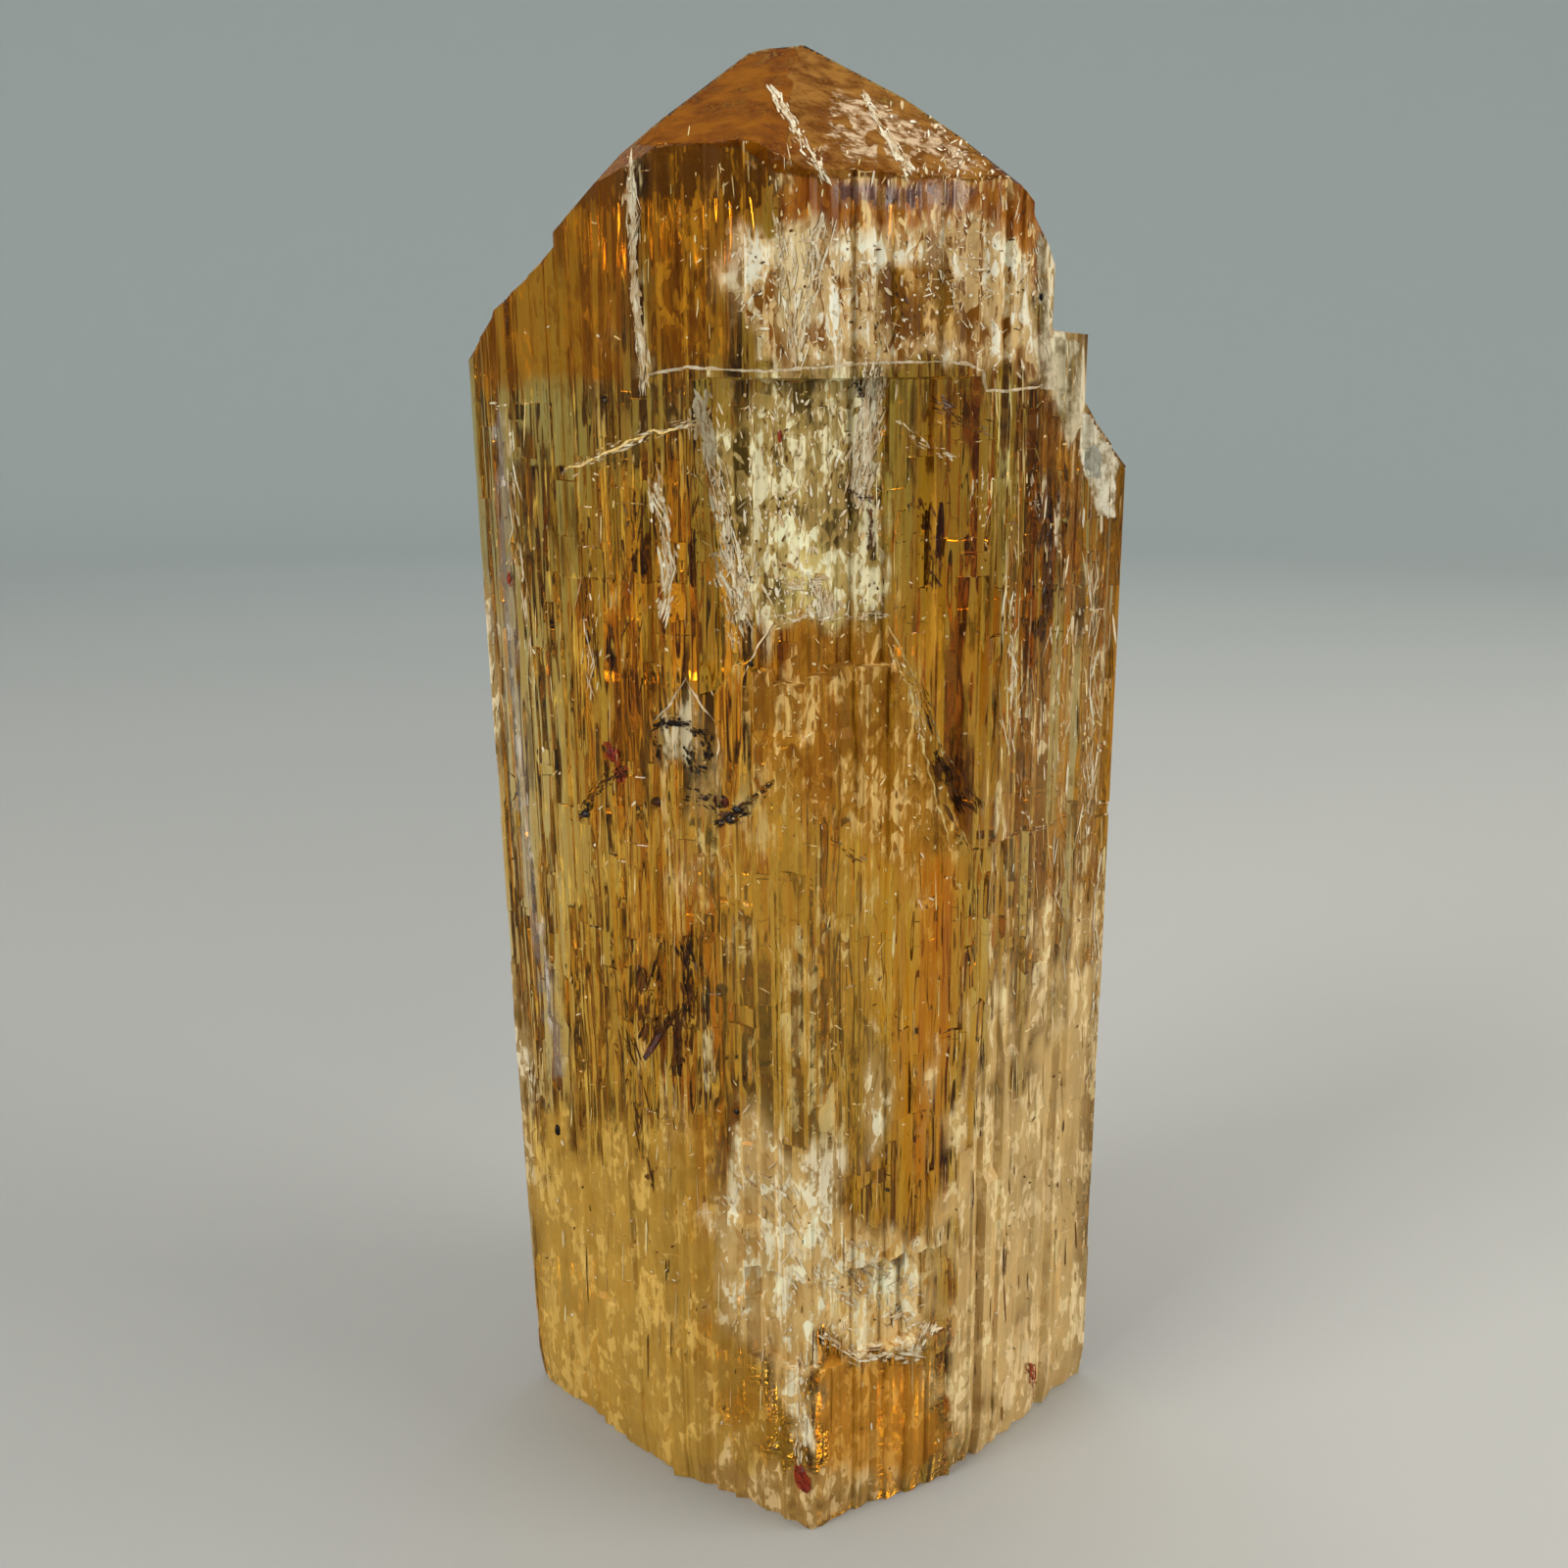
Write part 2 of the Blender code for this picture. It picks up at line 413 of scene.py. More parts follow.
def to_pixels(points):
    """Where points (n, 3) lie in the photograph's frame."""
    x, y, z = (points - EYE).T
    away = y * math.cos(TILT) - z * math.sin(TILT)
    up = y * math.sin(TILT) + z * math.cos(TILT)
    return np.column_stack([PIXELS / 2 + FOCAL_PIXELS * x / away, PIXELS / 2 - FOCAL_PIXELS * up / away])


def pixel_ray(px, py):
    right = (px - PIXELS / 2) / FOCAL_PIXELS
    up = (PIXELS / 2 - py) / FOCAL_PIXELS
    c, s = math.cos(TILT), math.sin(TILT)
    return Vector((right, c + up * s, -s + up * c)).normalized()


FRONT_NORMALS = [Vector((*facing(a), 0.0)) for a in (223.4, 242.2, 297.8, 316.6)]
TOP_NORMALS = [
    Vector((*(facing(degrees) * slope), 1.0)).normalized()
    for name, (degrees, _, slope) in TERMINATION.items()
    if name.startswith("front")
]
IOR = 1.62


class Inside:
    """Finds the place inside the crystal that the camera sees at a pixel, at a depth under the surface."""

    def __init__(self, bm):
        self.tree = mathutils.bvhtree.BVHTree.FromBMesh(bm)

    def surface(self, px, py):
        ray = pixel_ray(px, py)
        place, normal, _, _ = self.tree.ray_cast(Vector(CAMERA_PLACE), ray)
        if place is None:
            return None
        plain = max(FRONT_NORMALS + TOP_NORMALS, key=lambda n: n.dot(normal))
        return place, plain, ray

    def point(self, px, py, depth):
        """The place at a depth in metres, and the normal of the face it lies under."""
        found = self.surface(px, py)
        if found is None:
            return None, None
        place, normal, ray = found
        cosine = -normal.dot(ray)
        if cosine <= 0.02:
            return place - normal * depth, normal
        ratio = 1.0 / IOR
        under = 1.0 - ratio * ratio * (1.0 - cosine * cosine)
        bent = ray * ratio + normal * (ratio * cosine - math.sqrt(under))
        return place + bent * (depth / max(0.35, -bent.dot(normal))), normal


def inside_polygon(x, y, outline):
    """Signed distance in pixels to a polygon, positive inside."""
    pts = np.array(outline, float)
    inside = np.zeros(x.shape, bool)
    nearest = np.full(x.shape, 1e9)
    for (x0, y0), (x1, y1) in zip(pts, np.roll(pts, -1, axis=0)):
        dx, dy = x1 - x0, y1 - y0
        t = np.clip(((x - x0) * dx + (y - y0) * dy) / max(dx * dx + dy * dy, 1e-9), 0, 1)
        nearest = np.minimum(nearest, np.hypot(x - x0 - t * dx, y - y0 - t * dy))
        crosses = (y0 > y) != (y1 > y)
        edge_x = x0 + (y - y0) / (y1 - y0 if y1 != y0 else 1e-9) * dx
        inside ^= crosses & (x < edge_x)
    return np.where(inside, nearest, -nearest)


def mesh_points(mesh):
    points = np.empty(len(mesh.vertices) * 3)
    mesh.vertices.foreach_get("co", points)
    return points.reshape(-1, 3)


def set_colours(mesh, name, colours):
    """Store one colour a vertex, for a material to read by name."""
    layer = mesh.attributes.new(name, "FLOAT_COLOR", "POINT")
    with_alpha = np.column_stack([colours, np.ones(len(colours))])
    layer.data.foreach_set("color", with_alpha.astype(np.float32).ravel())


def set_values(mesh, name, values):
    """Store one number a vertex, for a material to read by name."""
    layer = mesh.attributes.new(name, "FLOAT", "POINT")
    layer.data.foreach_set("value", np.array(values, np.float32))


def noise_field(points, scale, along, seed):
    """Noise at every point, drawn out along the crystal."""
    return np.array([noise(x, y, z, scale, seed) for x, y, z in points / MM * (1.0, 1.0, along)])


def add_piece(name, verts, faces, material, values=None, attribute_name="cover"):
    mesh = bpy.data.meshes.new(name)
    mesh.from_pydata(verts, [], faces)
    if values is not None:
        set_values(mesh, attribute_name, values)
    return link(name, mesh, material)


VEIL_STEP = 3.0  # pixels between the points of a sheet
VEIL_RELIEF = 0.004


def veil(name, inside, material, outline, depth, soft, ragged, seed):
    """A slightly rough sheet over the crystal that fills a pixel outline, at a depth in millimetres."""
    step = VEIL_STEP
    pts = np.array(outline, float)
    low, high = pts.min(axis=0) - 2 * step, pts.max(axis=0) + 2 * step
    xs = np.arange(low[0], high[0] + step, step)
    ys = np.arange(low[1], high[1] + step, step)
    gx, gy = np.meshgrid(xs, ys)
    wobble_x = np.array([[noise(x, y, 0, 0.035, seed) for x in xs] for y in ys]) * ragged
    wobble_y = np.array([[noise(x, y, 5, 0.035, seed + 1) for x in xs] for y in ys]) * ragged
    edge = inside_polygon(gx + wobble_x, gy + wobble_y, pts)
    cover = smooth(-1.0, soft, edge)
    index, verts, values = {}, [], []
    for j, y in enumerate(ys):
        for i, x in enumerate(xs):
            if edge[j, i] < -step:
                continue
            rough = noise(x, y, seed, 0.04, seed) + 0.5 * noise(x, y, seed, 0.12, seed)
            place, _ = inside.point(x, y, (depth + VEIL_RELIEF * rough) * MM)
            if place is None:
                continue
            index[j, i] = len(verts)
            verts.append(place)
            values.append(cover[j, i])
    faces = []
    for j, i in index:
        corner = [index.get(k) for k in ((j, i), (j, i + 1), (j + 1, i + 1), (j + 1, i))]
        if None not in corner:
            faces.append(corner)
    return add_piece(name, verts, faces, material, values)


LINE_DEPTH = -0.024


def ribbon(name, inside, material, path, width, ragged, seed):
    """A thin line just above the surface, through the pixels of a path: its width is in pixels."""
    pts = [np.array(p, float) for p in path]
    line = []
    for a, b in zip(pts, pts[1:]):
        steps = max(1, int(np.linalg.norm(b - a) / 4))
        line += [a + (b - a) * k / steps for k in range(steps)]
    line.append(pts[-1])
    verts, faces = [], []
    for k, p in enumerate(line):
        ahead = line[min(k + 1, len(line) - 1)] - line[max(k - 1, 0)]
        across = np.array([-ahead[1], ahead[0]]) / max(np.linalg.norm(ahead), 1e-6)
        p = p + across * ragged * noise(p[0], p[1], 1, 0.09, seed)
        end = min(1.0, min(k, len(line) - 1 - k) / 6 + 0.15)
        half = width / 2 * end * (1.0 + 0.7 * noise(p[0], p[1], 2, 0.15, seed))
        for side in (-1, 1):
            at = p + across * half * side
            place, _ = inside.point(at[0], at[1], (LINE_DEPTH + 0.02 * side) * MM)
            if place is None:
                return None
            verts.append(place)
        if k:
            faces.append((2 * k - 2, 2 * k - 1, 2 * k + 1, 2 * k))
    return add_piece(name, verts, faces, material)


# Helpers for the materials
def attribute(n, name, output="Fac"):
    node = n.add("ShaderNodeAttribute")
    node.attribute_name = name
    return node.outputs[output]


def stretched(n, scale, along=1.0):
    """Object coordinates scaled so that a pattern is drawn out along the crystal."""
    place = n.add("ShaderNodeTexCoord").outputs["Object"]
    return n.add("ShaderNodeMapping", Vector=place, Scale=(scale, scale, scale * along)).outputs["Vector"]


def noise_node(n, vector, detail=4.0, rough=0.6):
    node = n.add("ShaderNodeTexNoise", Vector=vector, Scale=1.0, Detail=detail, Roughness=rough)
    return node.outputs["Fac"]


def ramp(n, value, low, high, to_low=0.0, to_high=1.0):
    limits = {"From_Min": low, "From_Max": high, "To_Min": to_low, "To_Max": to_high}
    node = n.add("ShaderNodeMapRange", Value=value, **limits)
    node.interpolation_type = "SMOOTHSTEP"
    return node.outputs["Result"]


def math_node(n, kind, a, b=0.0):
    node = n.add("ShaderNodeMath")
    node.operation = kind
    n.set(node.inputs[0], a)
    n.set(node.inputs[1], b)
    return node.outputs[0]


def mix_value(n, fac, a, b):
    node = n.add("ShaderNodeMix")
    for index, value in ((0, fac), (2, a), (3, b)):
        n.set(node.inputs[index], value)
    return node.outputs[0]


def mix_colour(n, fac, a, b, blend="MIX"):
    node = n.add("ShaderNodeMix")
    node.data_type = "RGBA"
    node.blend_type = blend
    n.set(node.inputs["Factor"], fac)
    for socket, value in zip([s for s in node.inputs if s.type == "RGBA"], (a, b)):
        n.set(socket, value)
    return [s for s in node.outputs if s.type == "RGBA"][0]


def bump(n, height, strength, distance):
    return n.add("ShaderNodeBump", Height=height, Strength=strength, Distance=distance).outputs["Normal"]


# Frosting: hair-thin, thin and broad streaks by scale, drawing out, detail, roughness and share,
# then how the value, from 0 to 1, is spread, coloured and made opaque
STREAKS = [
    (15000.0, 0.012, 1.0, 0.5, 0.18),
    (5200.0, 0.022, 2.0, 0.6, 0.24),
    (1500.0, 0.22, 4.0, 0.72, 0.58),
]
STREAK_CONTRAST = (0.36, 0.64)
GRAIN_CONTRAST = (0.12, 0.88)
BLOTCH_CONTRAST = (0.38, 0.62)
GRAIN_SCALE = 4600.0
GRAIN_ALONG = 0.5
GRAIN_WARP = 2.4
DARK_TO_MIDDLE = (0.05, 0.45)
MIDDLE_TO_LIGHT = (0.52, 0.90)
CLEAR_COVER = (0.15, 0.46, 0.0, 0.80)
FROSTY_COVER = (0.02, 0.30, 0.80, 1.0)
GRAIN_TO_FROSTY = (0.15, 0.7)
FINE_BUMP = 0.06 * MM
COARSE_BUMP = 0.1 * MM


def streak_value(n):
    """Long streaks of several widths along the crystal, from about 0 to 1."""
    total = None
    for scale, along, detail, rough, share in STREAKS:
        streaks = noise_node(n, stretched(n, scale, along), detail=detail, rough=rough)
        part = math_node(n, "MULTIPLY", streaks, share)
        total = part if total is None else math_node(n, "ADD", total, part)
    return ramp(n, total, *STREAK_CONTRAST)


def grain_value(n):
    """Crushed, glittering cracks: facets of random brightness over soft blotches, from about 0 to 1."""
    wide = stretched(n, GRAIN_SCALE * 0.5, GRAIN_ALONG)
    warp = n.add("ShaderNodeTexNoise", Vector=wide, Scale=1.0, Detail=0.0).outputs["Color"]
    bent = n.add("ShaderNodeVectorMath")
    bent.operation = "MULTIPLY_ADD"
    for socket, value in zip(bent.inputs, (warp, (GRAIN_WARP,) * 3, stretched(n, GRAIN_SCALE, GRAIN_ALONG))):
        n.set(socket, value)
    cells = n.add("ShaderNodeTexVoronoi", Vector=bent.outputs["Vector"], Scale=1.0)
    facets = n.add("ShaderNodeSeparateColor", Color=cells.outputs["Color"]).outputs["Red"]
    patches = noise_node(n, stretched(n, GRAIN_SCALE * 0.22, GRAIN_ALONG), detail=4.0, rough=0.75)
    blotch = ramp(n, patches, *BLOTCH_CONTRAST)
    total = math_node(n, "ADD", math_node(n, "MULTIPLY", facets, 0.5), math_node(n, "MULTIPLY", blotch, 0.5))
    return ramp(n, total, *GRAIN_CONTRAST)


OWN_SHADE = 0.7  # how much of a flake's colour is its own shade


def film_material():
    """Streaky and grainy frosting on the skin: clear where its value is middling, unless it is grainy."""
    n = Nodes("streaky frosting")
    grain = attribute(n, "grain")
    value = mix_value(n, grain, streak_value(n), grain_value(n))
    dark, middle, light = (attribute(n, name, "Color") for name in ("dark", "middle", "light"))
    low = mix_colour(n, ramp(n, value, *DARK_TO_MIDDLE), dark, middle)
    relief = noise_node(n, stretched(n, 7000.0, 0.12), detail=0.0)
    strength = math_node(n, "ABSOLUTE", math_node(n, "SUBTRACT", value, 0.5))
    clear = ramp(n, strength, *CLEAR_COVER)
    frosty = ramp(n, strength, *FROSTY_COVER)
    covered = mix_value(n, ramp(n, grain, *GRAIN_TO_FROSTY), clear, frosty)
    return n.surface(
        Base_Color=mix_colour(n, ramp(n, value, *MIDDLE_TO_LIGHT), low, light),
        Roughness=0.3,
        Specular_IOR_Level=0.16,
        Normal=bump(n, relief, 0.4, FINE_BUMP),
        Alpha=math_node(n, "MULTIPLY", attribute(n, "cover"), covered),
    )


def solid_material(name, dark, light, scale=5200.0, along=0.35, roughness=0.3, relief=0.6, shaded=False):
    """Opaque flakes, grains and lines, in two shades; flakes may each have a shade of their own."""
    n = Nodes(name)
    shades = noise_node(n, stretched(n, scale, along), detail=4.0, rough=0.7)
    amount = ramp(n, shades, 0.40, 0.60)
    if shaded:
        mottle = math_node(n, "MULTIPLY", amount, 1.0 - OWN_SHADE)
        amount = math_node(n, "ADD", mottle, math_node(n, "MULTIPLY", attribute(n, "shade"), OWN_SHADE))
    return n.surface(
        Base_Color=mix_colour(n, amount, paint(*dark), paint(*light)),
        Roughness=roughness,
        Specular_IOR_Level=0.4,
        Normal=bump(n, shades, relief, COARSE_BUMP),
    )


def haze_material(name, dark, light, scale, most):
    """A see-through blotchy haze that ends with its cover."""
    n = Nodes(name)
    blotch = noise_node(n, stretched(n, scale), detail=6.0, rough=0.65)
    less = math_node(n, "MULTIPLY", math_node(n, "SUBTRACT", attribute(n, "cover"), 1.0), 0.45)
    return n.surface(
        Base_Color=mix_colour(n, ramp(n, blotch, 0.40, 0.62), paint(*dark), paint(*light)),
        Roughness=0.35,
        Specular_IOR_Level=0.02,
        Normal=bump(n, blotch, 0.5, COARSE_BUMP),
        Alpha=ramp(n, math_node(n, "ADD", blotch, less), 0.22, 0.5, 0.0, most),
    )


ABSORBED = (0.97, 0.77, 0.012)
ABSORBED_DENSITY = 190.0


def topaz_material():
    """Clear golden glass, with thin lines of deeper and paler gold along it."""
    n = Nodes("golden topaz")
    fine = noise_node(n, stretched(n, 5200.0, 0.03), detail=2.0, rough=0.7)
    lines = mix_colour(n, ramp(n, fine, 0.36, 0.60), (0.92, 0.60, 0.18), (1.0, 0.91, 0.62))
    grain = noise_node(n, stretched(n, 5000.0, 0.14), detail=0.0)
    absorb = n.add("ShaderNodeVolumeAbsorption", Color=ABSORBED, Density=ABSORBED_DENSITY)
    n.set(n.out.inputs["Volume"], absorb.outputs["Volume"])
    return n.surface(
        Base_Color=mix_colour(n, 1.0, attribute(n, "tint", "Color"), lines, "MULTIPLY"),
        Roughness=0.04,
        IOR=IOR,
        Transmission_Weight=1.0,
        Normal=bump(n, grain, 0.28, FINE_BUMP),
    )


# Zones seen from the front, by their outlines in pixels of the photograph
LEFT_SHOULDER = [(650, 100), (580, 180), (540, 235), (490, 300), (465, 345), (475, 400), (640, 392),
                 (652, 110)]
UPPER_MIDDLE = [(650, 120), (800, 150), (770, 240), (745, 300), (760, 372), (655, 384)]
TOP_BAND = [(785, 150), (1070, 160), (1066, 300), (1030, 300), (1000, 225), (905, 245), (790, 240)]
FROST = [(750, 235), (905, 235), (1000, 215), (1052, 260), (1072, 392), (960, 368), (780, 376), (745, 300)]
FROST_WINDOW = [(895, 268), (960, 262), (990, 300), (985, 345), (930, 350), (898, 330)]
COLUMN = [(722, 385), (905, 378), (900, 560), (908, 630), (785, 636), (750, 640), (735, 540), (715, 430)]
FLAP = [(655, 392), (780, 386), (760, 436), (700, 440), (640, 470), (590, 486), (640, 440)]
LEFT_MIDDLE = [(590, 480), (712, 440), (745, 640), (760, 800), (690, 690), (640, 800), (600, 900),
               (570, 700)]
LEFT_EDGE = [(485, 345), (600, 400), (590, 900), (570, 1200), (540, 1200), (500, 640)]
OLIVE_BAND = [(902, 385), (932, 385), (930, 600), (905, 600)]
RIGHT_MIDDLE = [(932, 385), (1010, 385), (1015, 830), (975, 830), (945, 700), (912, 628), (930, 590)]
RIGHT_STRIAE = [(1012, 385), (1052, 400), (1050, 780), (1014, 780)]
RIGHT_EDGE = [(1056, 400), (1100, 430), (1142, 520), (1132, 800), (1050, 800)]
GABLE_ZONE = [(792, 632), (905, 628), (948, 730), (985, 870), (975, 960), (880, 860), (800, 830),
              (745, 720)]
MIDDLE_HAZE = [(690, 830), (800, 800), (890, 880), (905, 1000), (900, 1160), (770, 1180), (720, 1040),
               (700, 960)]
RIGHT_LOW_ORANGE = [(935, 860), (985, 880), (975, 1100), (945, 1260), (920, 1180), (930, 1000)]
LEFT_LOW = [(575, 900), (690, 850), (700, 960), (690, 1100), (715, 1160), (720, 1400), (640, 1440),
            (560, 1380), (545, 1200)]
AMBER_STRIP = [(700, 1130), (745, 1120), (735, 1240), (735, 1340), (800, 1440), (780, 1500), (720, 1440),
               (700, 1300)]
LOWER_FRACTURE = [(755, 1090), (790, 1150), (850, 1240), (950, 1262), (945, 1350), (930, 1384), (875, 1386),
                  (838, 1362), (830, 1480), (808, 1480), (790, 1400), (730, 1345), (725, 1240), (745, 1180)]
UNDER_FRACTURE = [(838, 1372), (875, 1392), (940, 1386), (962, 1480), (900, 1520), (840, 1500)]
RIGHT_PALE = [(1012, 790), (1120, 640), (1140, 640), (1128, 900), (1112, 1380), (1040, 1450), (960, 1480),
              (945, 1270), (985, 1000)]
FOOT = [(700, 1490), (780, 1490), (900, 1500), (960, 1490), (880, 1545), (800, 1565), (740, 1545)]
KNOB = [(1098, 415), (1125, 425), (1145, 470), (1140, 530), (1118, 530), (1100, 470)]
FLAT_CRYSTAL = [(1074, 342), (1106, 345), (1104, 430), (1090, 470), (1072, 400)]
ROUNDED_CRYSTAL = [(1056, 228), (1070, 250), (1078, 400), (1058, 400)]
TOP_LEFT_FACE = [(625, 151), (700, 75), (770, 35), (812, 35), (846, 182), (790, 181), (757, 156),
                 (700, 151)]
TOP_RIGHT_FACE = [(800, 35), (870, 45), (960, 95), (1065, 188), (800, 184)]
TOP_HAZE = [(830, 70), (900, 90), (960, 118), (1040, 182), (760, 182), (770, 150), (800, 160), (840, 130)]
TOP_GLITTER = [(900, 105), (960, 110), (1045, 182), (940, 182)]
FRONT_RIGHT = [(905, 385), (1056, 400), (1142, 520), (1128, 900), (1112, 1380), (960, 1480), (900, 900)]
FAN = [(786, 230), (848, 226), (836, 290), (820, 366), (800, 366), (794, 300)]
COLUMN_FOOT = [(795, 560), (850, 560), (860, 634), (785, 634)]
ORANGE_CORNER = [(1056, 430), (1096, 445), (1100, 520), (1078, 500), (1056, 470)]
GABLE_SIDES = [(795, 636), (830, 640), (790, 690), (765, 700)]
CLEAR_HOUSE = [(700, 690), (710, 712), (728, 735), (730, 786), (712, 800), (672, 782), (662, 738),
               (684, 722)]
LOWER_PATCH = [(848, 1270), (950, 1264), (945, 1345), (932, 1378), (876, 1382), (845, 1350)]
LEFT_BOTTOM = [(420, 1190), (600, 1140), (730, 1165), (745, 1350), (800, 1600), (420, 1600)]
RIGHT_FOOT = [(965, 1080), (1130, 920), (1260, 950), (1240, 1560), (962, 1560), (950, 1300)]
RIGHT_SIDE = [(1005, 760), (1090, 600), (1260, 600), (1260, 1560), (960, 1560), (945, 1270), (985, 1000)]
# A painted reflection: a pale grey-lilac strip where a facet mirrors the surroundings
LILAC_REFLECTION_STRIP = [(503, 412), (520, 410), (524, 600), (550, 900), (580, 1100), (562, 1100), (530, 900),
               (508, 600)]
KNOB_FACET = [(1104, 455), (1120, 452), (1127, 470), (1122, 490), (1106, 486)]
STRIATED = [(490, 420), (640, 400), (720, 480), (745, 640), (690, 700), (700, 960), (760, 1180),
            (900, 1200), (905, 640), (905, 390), (1050, 400), (1135, 560), (1120, 1300), (960, 1400),
            (720, 1440), (560, 1380), (505, 700)]
BROWN_SMEAR = [(676, 950), (716, 944), (726, 1000), (712, 1062), (692, 1104), (670, 1062), (658, 1000)]
BROWN_BLOCK = [(954, 764), (986, 768), (1002, 826), (976, 838), (956, 800)]
LILAC_EDGE = [(850, 186), (1000, 188), (985, 212), (900, 208), (860, 214)]
# A painted highlight: a thin strip of glinting light on the left shoulder
SILVER_GLINT_STRIP = [(638, 160), (650, 160), (652, 270), (662, 382), (650, 384), (643, 300)]
WHOLE_FRONT = [(500, 400), (640, 160), (1040, 190), (1130, 500), (1110, 1380), (850, 1540), (560, 1390),
               (500, 700)]

# Tint of the clear crystal in some zones, with the soft edge in pixels
TINTS = [
    (LEFT_SHOULDER, (1.0, 0.60, 0.08), 20),
    (UPPER_MIDDLE, (1.0, 0.62, 0.10), 20),
    (TOP_BAND, (1.0, 0.58, 0.10), 15),
    (LEFT_MIDDLE, (1.0, 0.76, 0.24), 25),
    (RIGHT_MIDDLE, (1.0, 0.64, 0.16), 15),
    (GABLE_ZONE, (1.0, 0.72, 0.25), 20),
    (RIGHT_LOW_ORANGE, (1.0, 0.62, 0.16), 15),
    (AMBER_STRIP, (1.0, 0.70, 0.18), 15),
    (UNDER_FRACTURE, (1.0, 0.74, 0.25), 15),
    (LEFT_LOW, (1.0, 0.84, 0.36), 40),
]
DRIFT_DEEPENS = (0.0, 0.18, 0.54)  # how much red, green and blue the drifting tint takes away


def tint_attribute(mesh):
    """Tint of the clear crystal, from the zones in front and from soft noise all round."""
    points = mesh_points(mesh)
    pixels = to_pixels(points)
    front = smooth(0.6 * MM, -1.2 * MM, points[:, 1])
    drift = noise_field(points, 0.32, 0.35, 3)
    deeper = smooth(-0.1, 0.5, drift)[:, None] * np.array(DRIFT_DEEPENS)
    tint = np.ones((len(points), 3)) * (1.0 - deeper)
    for outline, colour, soft in TINTS:
        edge = inside_polygon(pixels[:, 0], pixels[:, 1], outline)
        share = smooth(-soft * 0.5, soft, edge) * front
        tint *= 1.0 - share[:, None] * (1.0 - np.array(colour))
    set_colours(mesh, "tint", tint)


